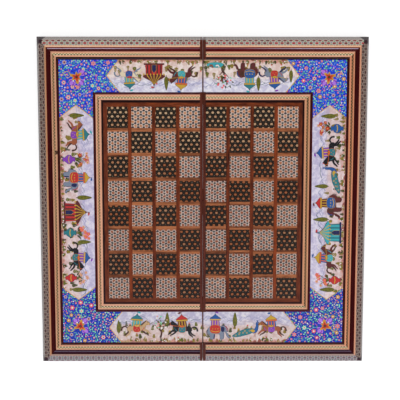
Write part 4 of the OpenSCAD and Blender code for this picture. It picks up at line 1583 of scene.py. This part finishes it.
@dataclass(frozen=True)
class Studio:
    """Camera, lamps, world and floor."""

    camera_place: tuple[float, float, float] = (-0.0066, 0.0833, 0.9753)
    camera_turn: tuple[float, float, float] = (-0.0826, -0.0025, 0.0001)
    lens: float = 56.7
    world_level: float = 0.52
    horizon: float = 0.04
    overhead: float = 0.04
    window: float = 2.3
    below: float = 0.35

    def set_up(self) -> None:
        """Makes everything round the board."""
        bpy.context.scene.view_settings.view_transform = "Standard"
        self.camera()
        self.world()
        self.floor()
        self.lamp("Front_lamp", (0.15, -1.6, 1.2), (2.6, 1.8), 16.0, (0.93, 0.94, 1.0))
        self.lamp("Side_lamp", (1.6, 0.3, 1.3), (1.6, 1.6), 6.5, (1.0, 0.98, 0.95))
        self.lamp("Fill_lamp", (-1.4, 0.5, 1.7), (1.8, 1.8), 6.5, (1.0, 0.99, 0.97))

    def camera(self) -> None:
        """Makes the camera over the board."""
        data = bpy.data.cameras.new("Camera")
        data.lens, data.sensor_width = self.lens, 36.0
        camera = add_object("Camera", data)
        camera.location, camera.rotation_euler = self.camera_place, self.camera_turn
        bpy.context.scene.camera = camera

    def lamp(self, name: str, place: Sequence[float], size: Point, watts: float, tint: Tint) -> None:
        """Makes a soft lamp that shines on the middle of the board."""
        data = bpy.data.lights.new(name, "AREA")
        data.shape, data.size, data.size_y, data.energy, data.color = "RECTANGLE", *size, watts, tint
        lamp = add_object(name, data)
        lamp.location = place
        lamp.visible_glossy = False
        lamp.rotation_euler = (-Vector(place)).to_track_quat("-Z", "Y").to_euler()

    def world(self) -> None:
        """Makes a plain world: white to the camera, softer as light, in reflections dim but for one high window."""
        world = bpy.data.worlds.new("Studio")
        bpy.context.scene.world = world
        world.use_nodes = True
        graph = Graph(world.node_tree)
        rays = graph.add("LightPath")
        glossy, seen = rays["Is Glossy Ray"], rays["Is Camera Ray"].do("MAXIMUM", rays["Is Transmission Ray"])
        x, y, up = graph.split(graph.add("TexCoord")["Generated"])
        front = y.mask(-0.35, -0.5) * abs(x).mask(0.5, 0.36)
        window = front * up.mask(0.52, 0.62) * up.mask(0.92, 0.84)
        mirrored = graph.between(up.mask(0.02, 0.3), self.horizon, self.overhead)
        mirrored = mirrored + window * self.window + up.mask(-0.02, -0.12) * self.below
        level = graph.between(glossy, self.world_level, mirrored)
        back = world.node_tree.nodes["Background"].inputs
        graph.feed(back["Strength"], graph.between(seen, level, 1.0))
        graph.feed(back["Color"], graph.blend(glossy * window, (1.0, 1.0, 1.0, 1.0), (0.72, 0.74, 1.0, 1.0)))

    def floor(self) -> None:
        """Makes a pale floor that keeps the board's shadow."""
        form = bmesh.new()
        bmesh.ops.create_grid(form, x_segments=1, y_segments=1, size=FLOOR_HALF)
        data = bpy.data.meshes.new("Floor")
        form.to_mesh(data)
        form.free()
        floor = add_object("Floor", data)
        surface = Surface("Floor_paper", Specular_IOR_Level=0.0, Emission_Color=(1.0, 1.0, 1.0, 1.0))
        graph = surface.graph
        paper = graph.blend(surface.noise(0.01), shade(232, 232, 232), shade(236, 236, 236))
        graph.feed(surface.inputs["Base Color"], paper)
        rays = graph.add("LightPath")
        seen = rays["Is Camera Ray"].do("MAXIMUM", rays["Is Transmission Ray"])
        seen = seen.do("MAXIMUM", rays["Is Glossy Ray"] * 0.2)
        open_sky = graph.add("AmbientOcclusion", {"Distance": SHADOW_REACH * MM}, samples=4)["AO"]
        glow = graph.between(open_sky.mask(0.3, 0.6), 0.05, 0.52)
        graph.feed(surface.inputs["Emission Strength"], seen * glow)
        data.materials.append(surface.material)


def main() -> None:
    """Builds the scene in order."""
    logging.basicConfig(level=logging.INFO, format="%(name)s: %(message)s")
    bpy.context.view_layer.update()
    Studio().set_up()
    Marquetry().dress()
    PaintedBorder().build()


if __name__ == "__main__":
    main()
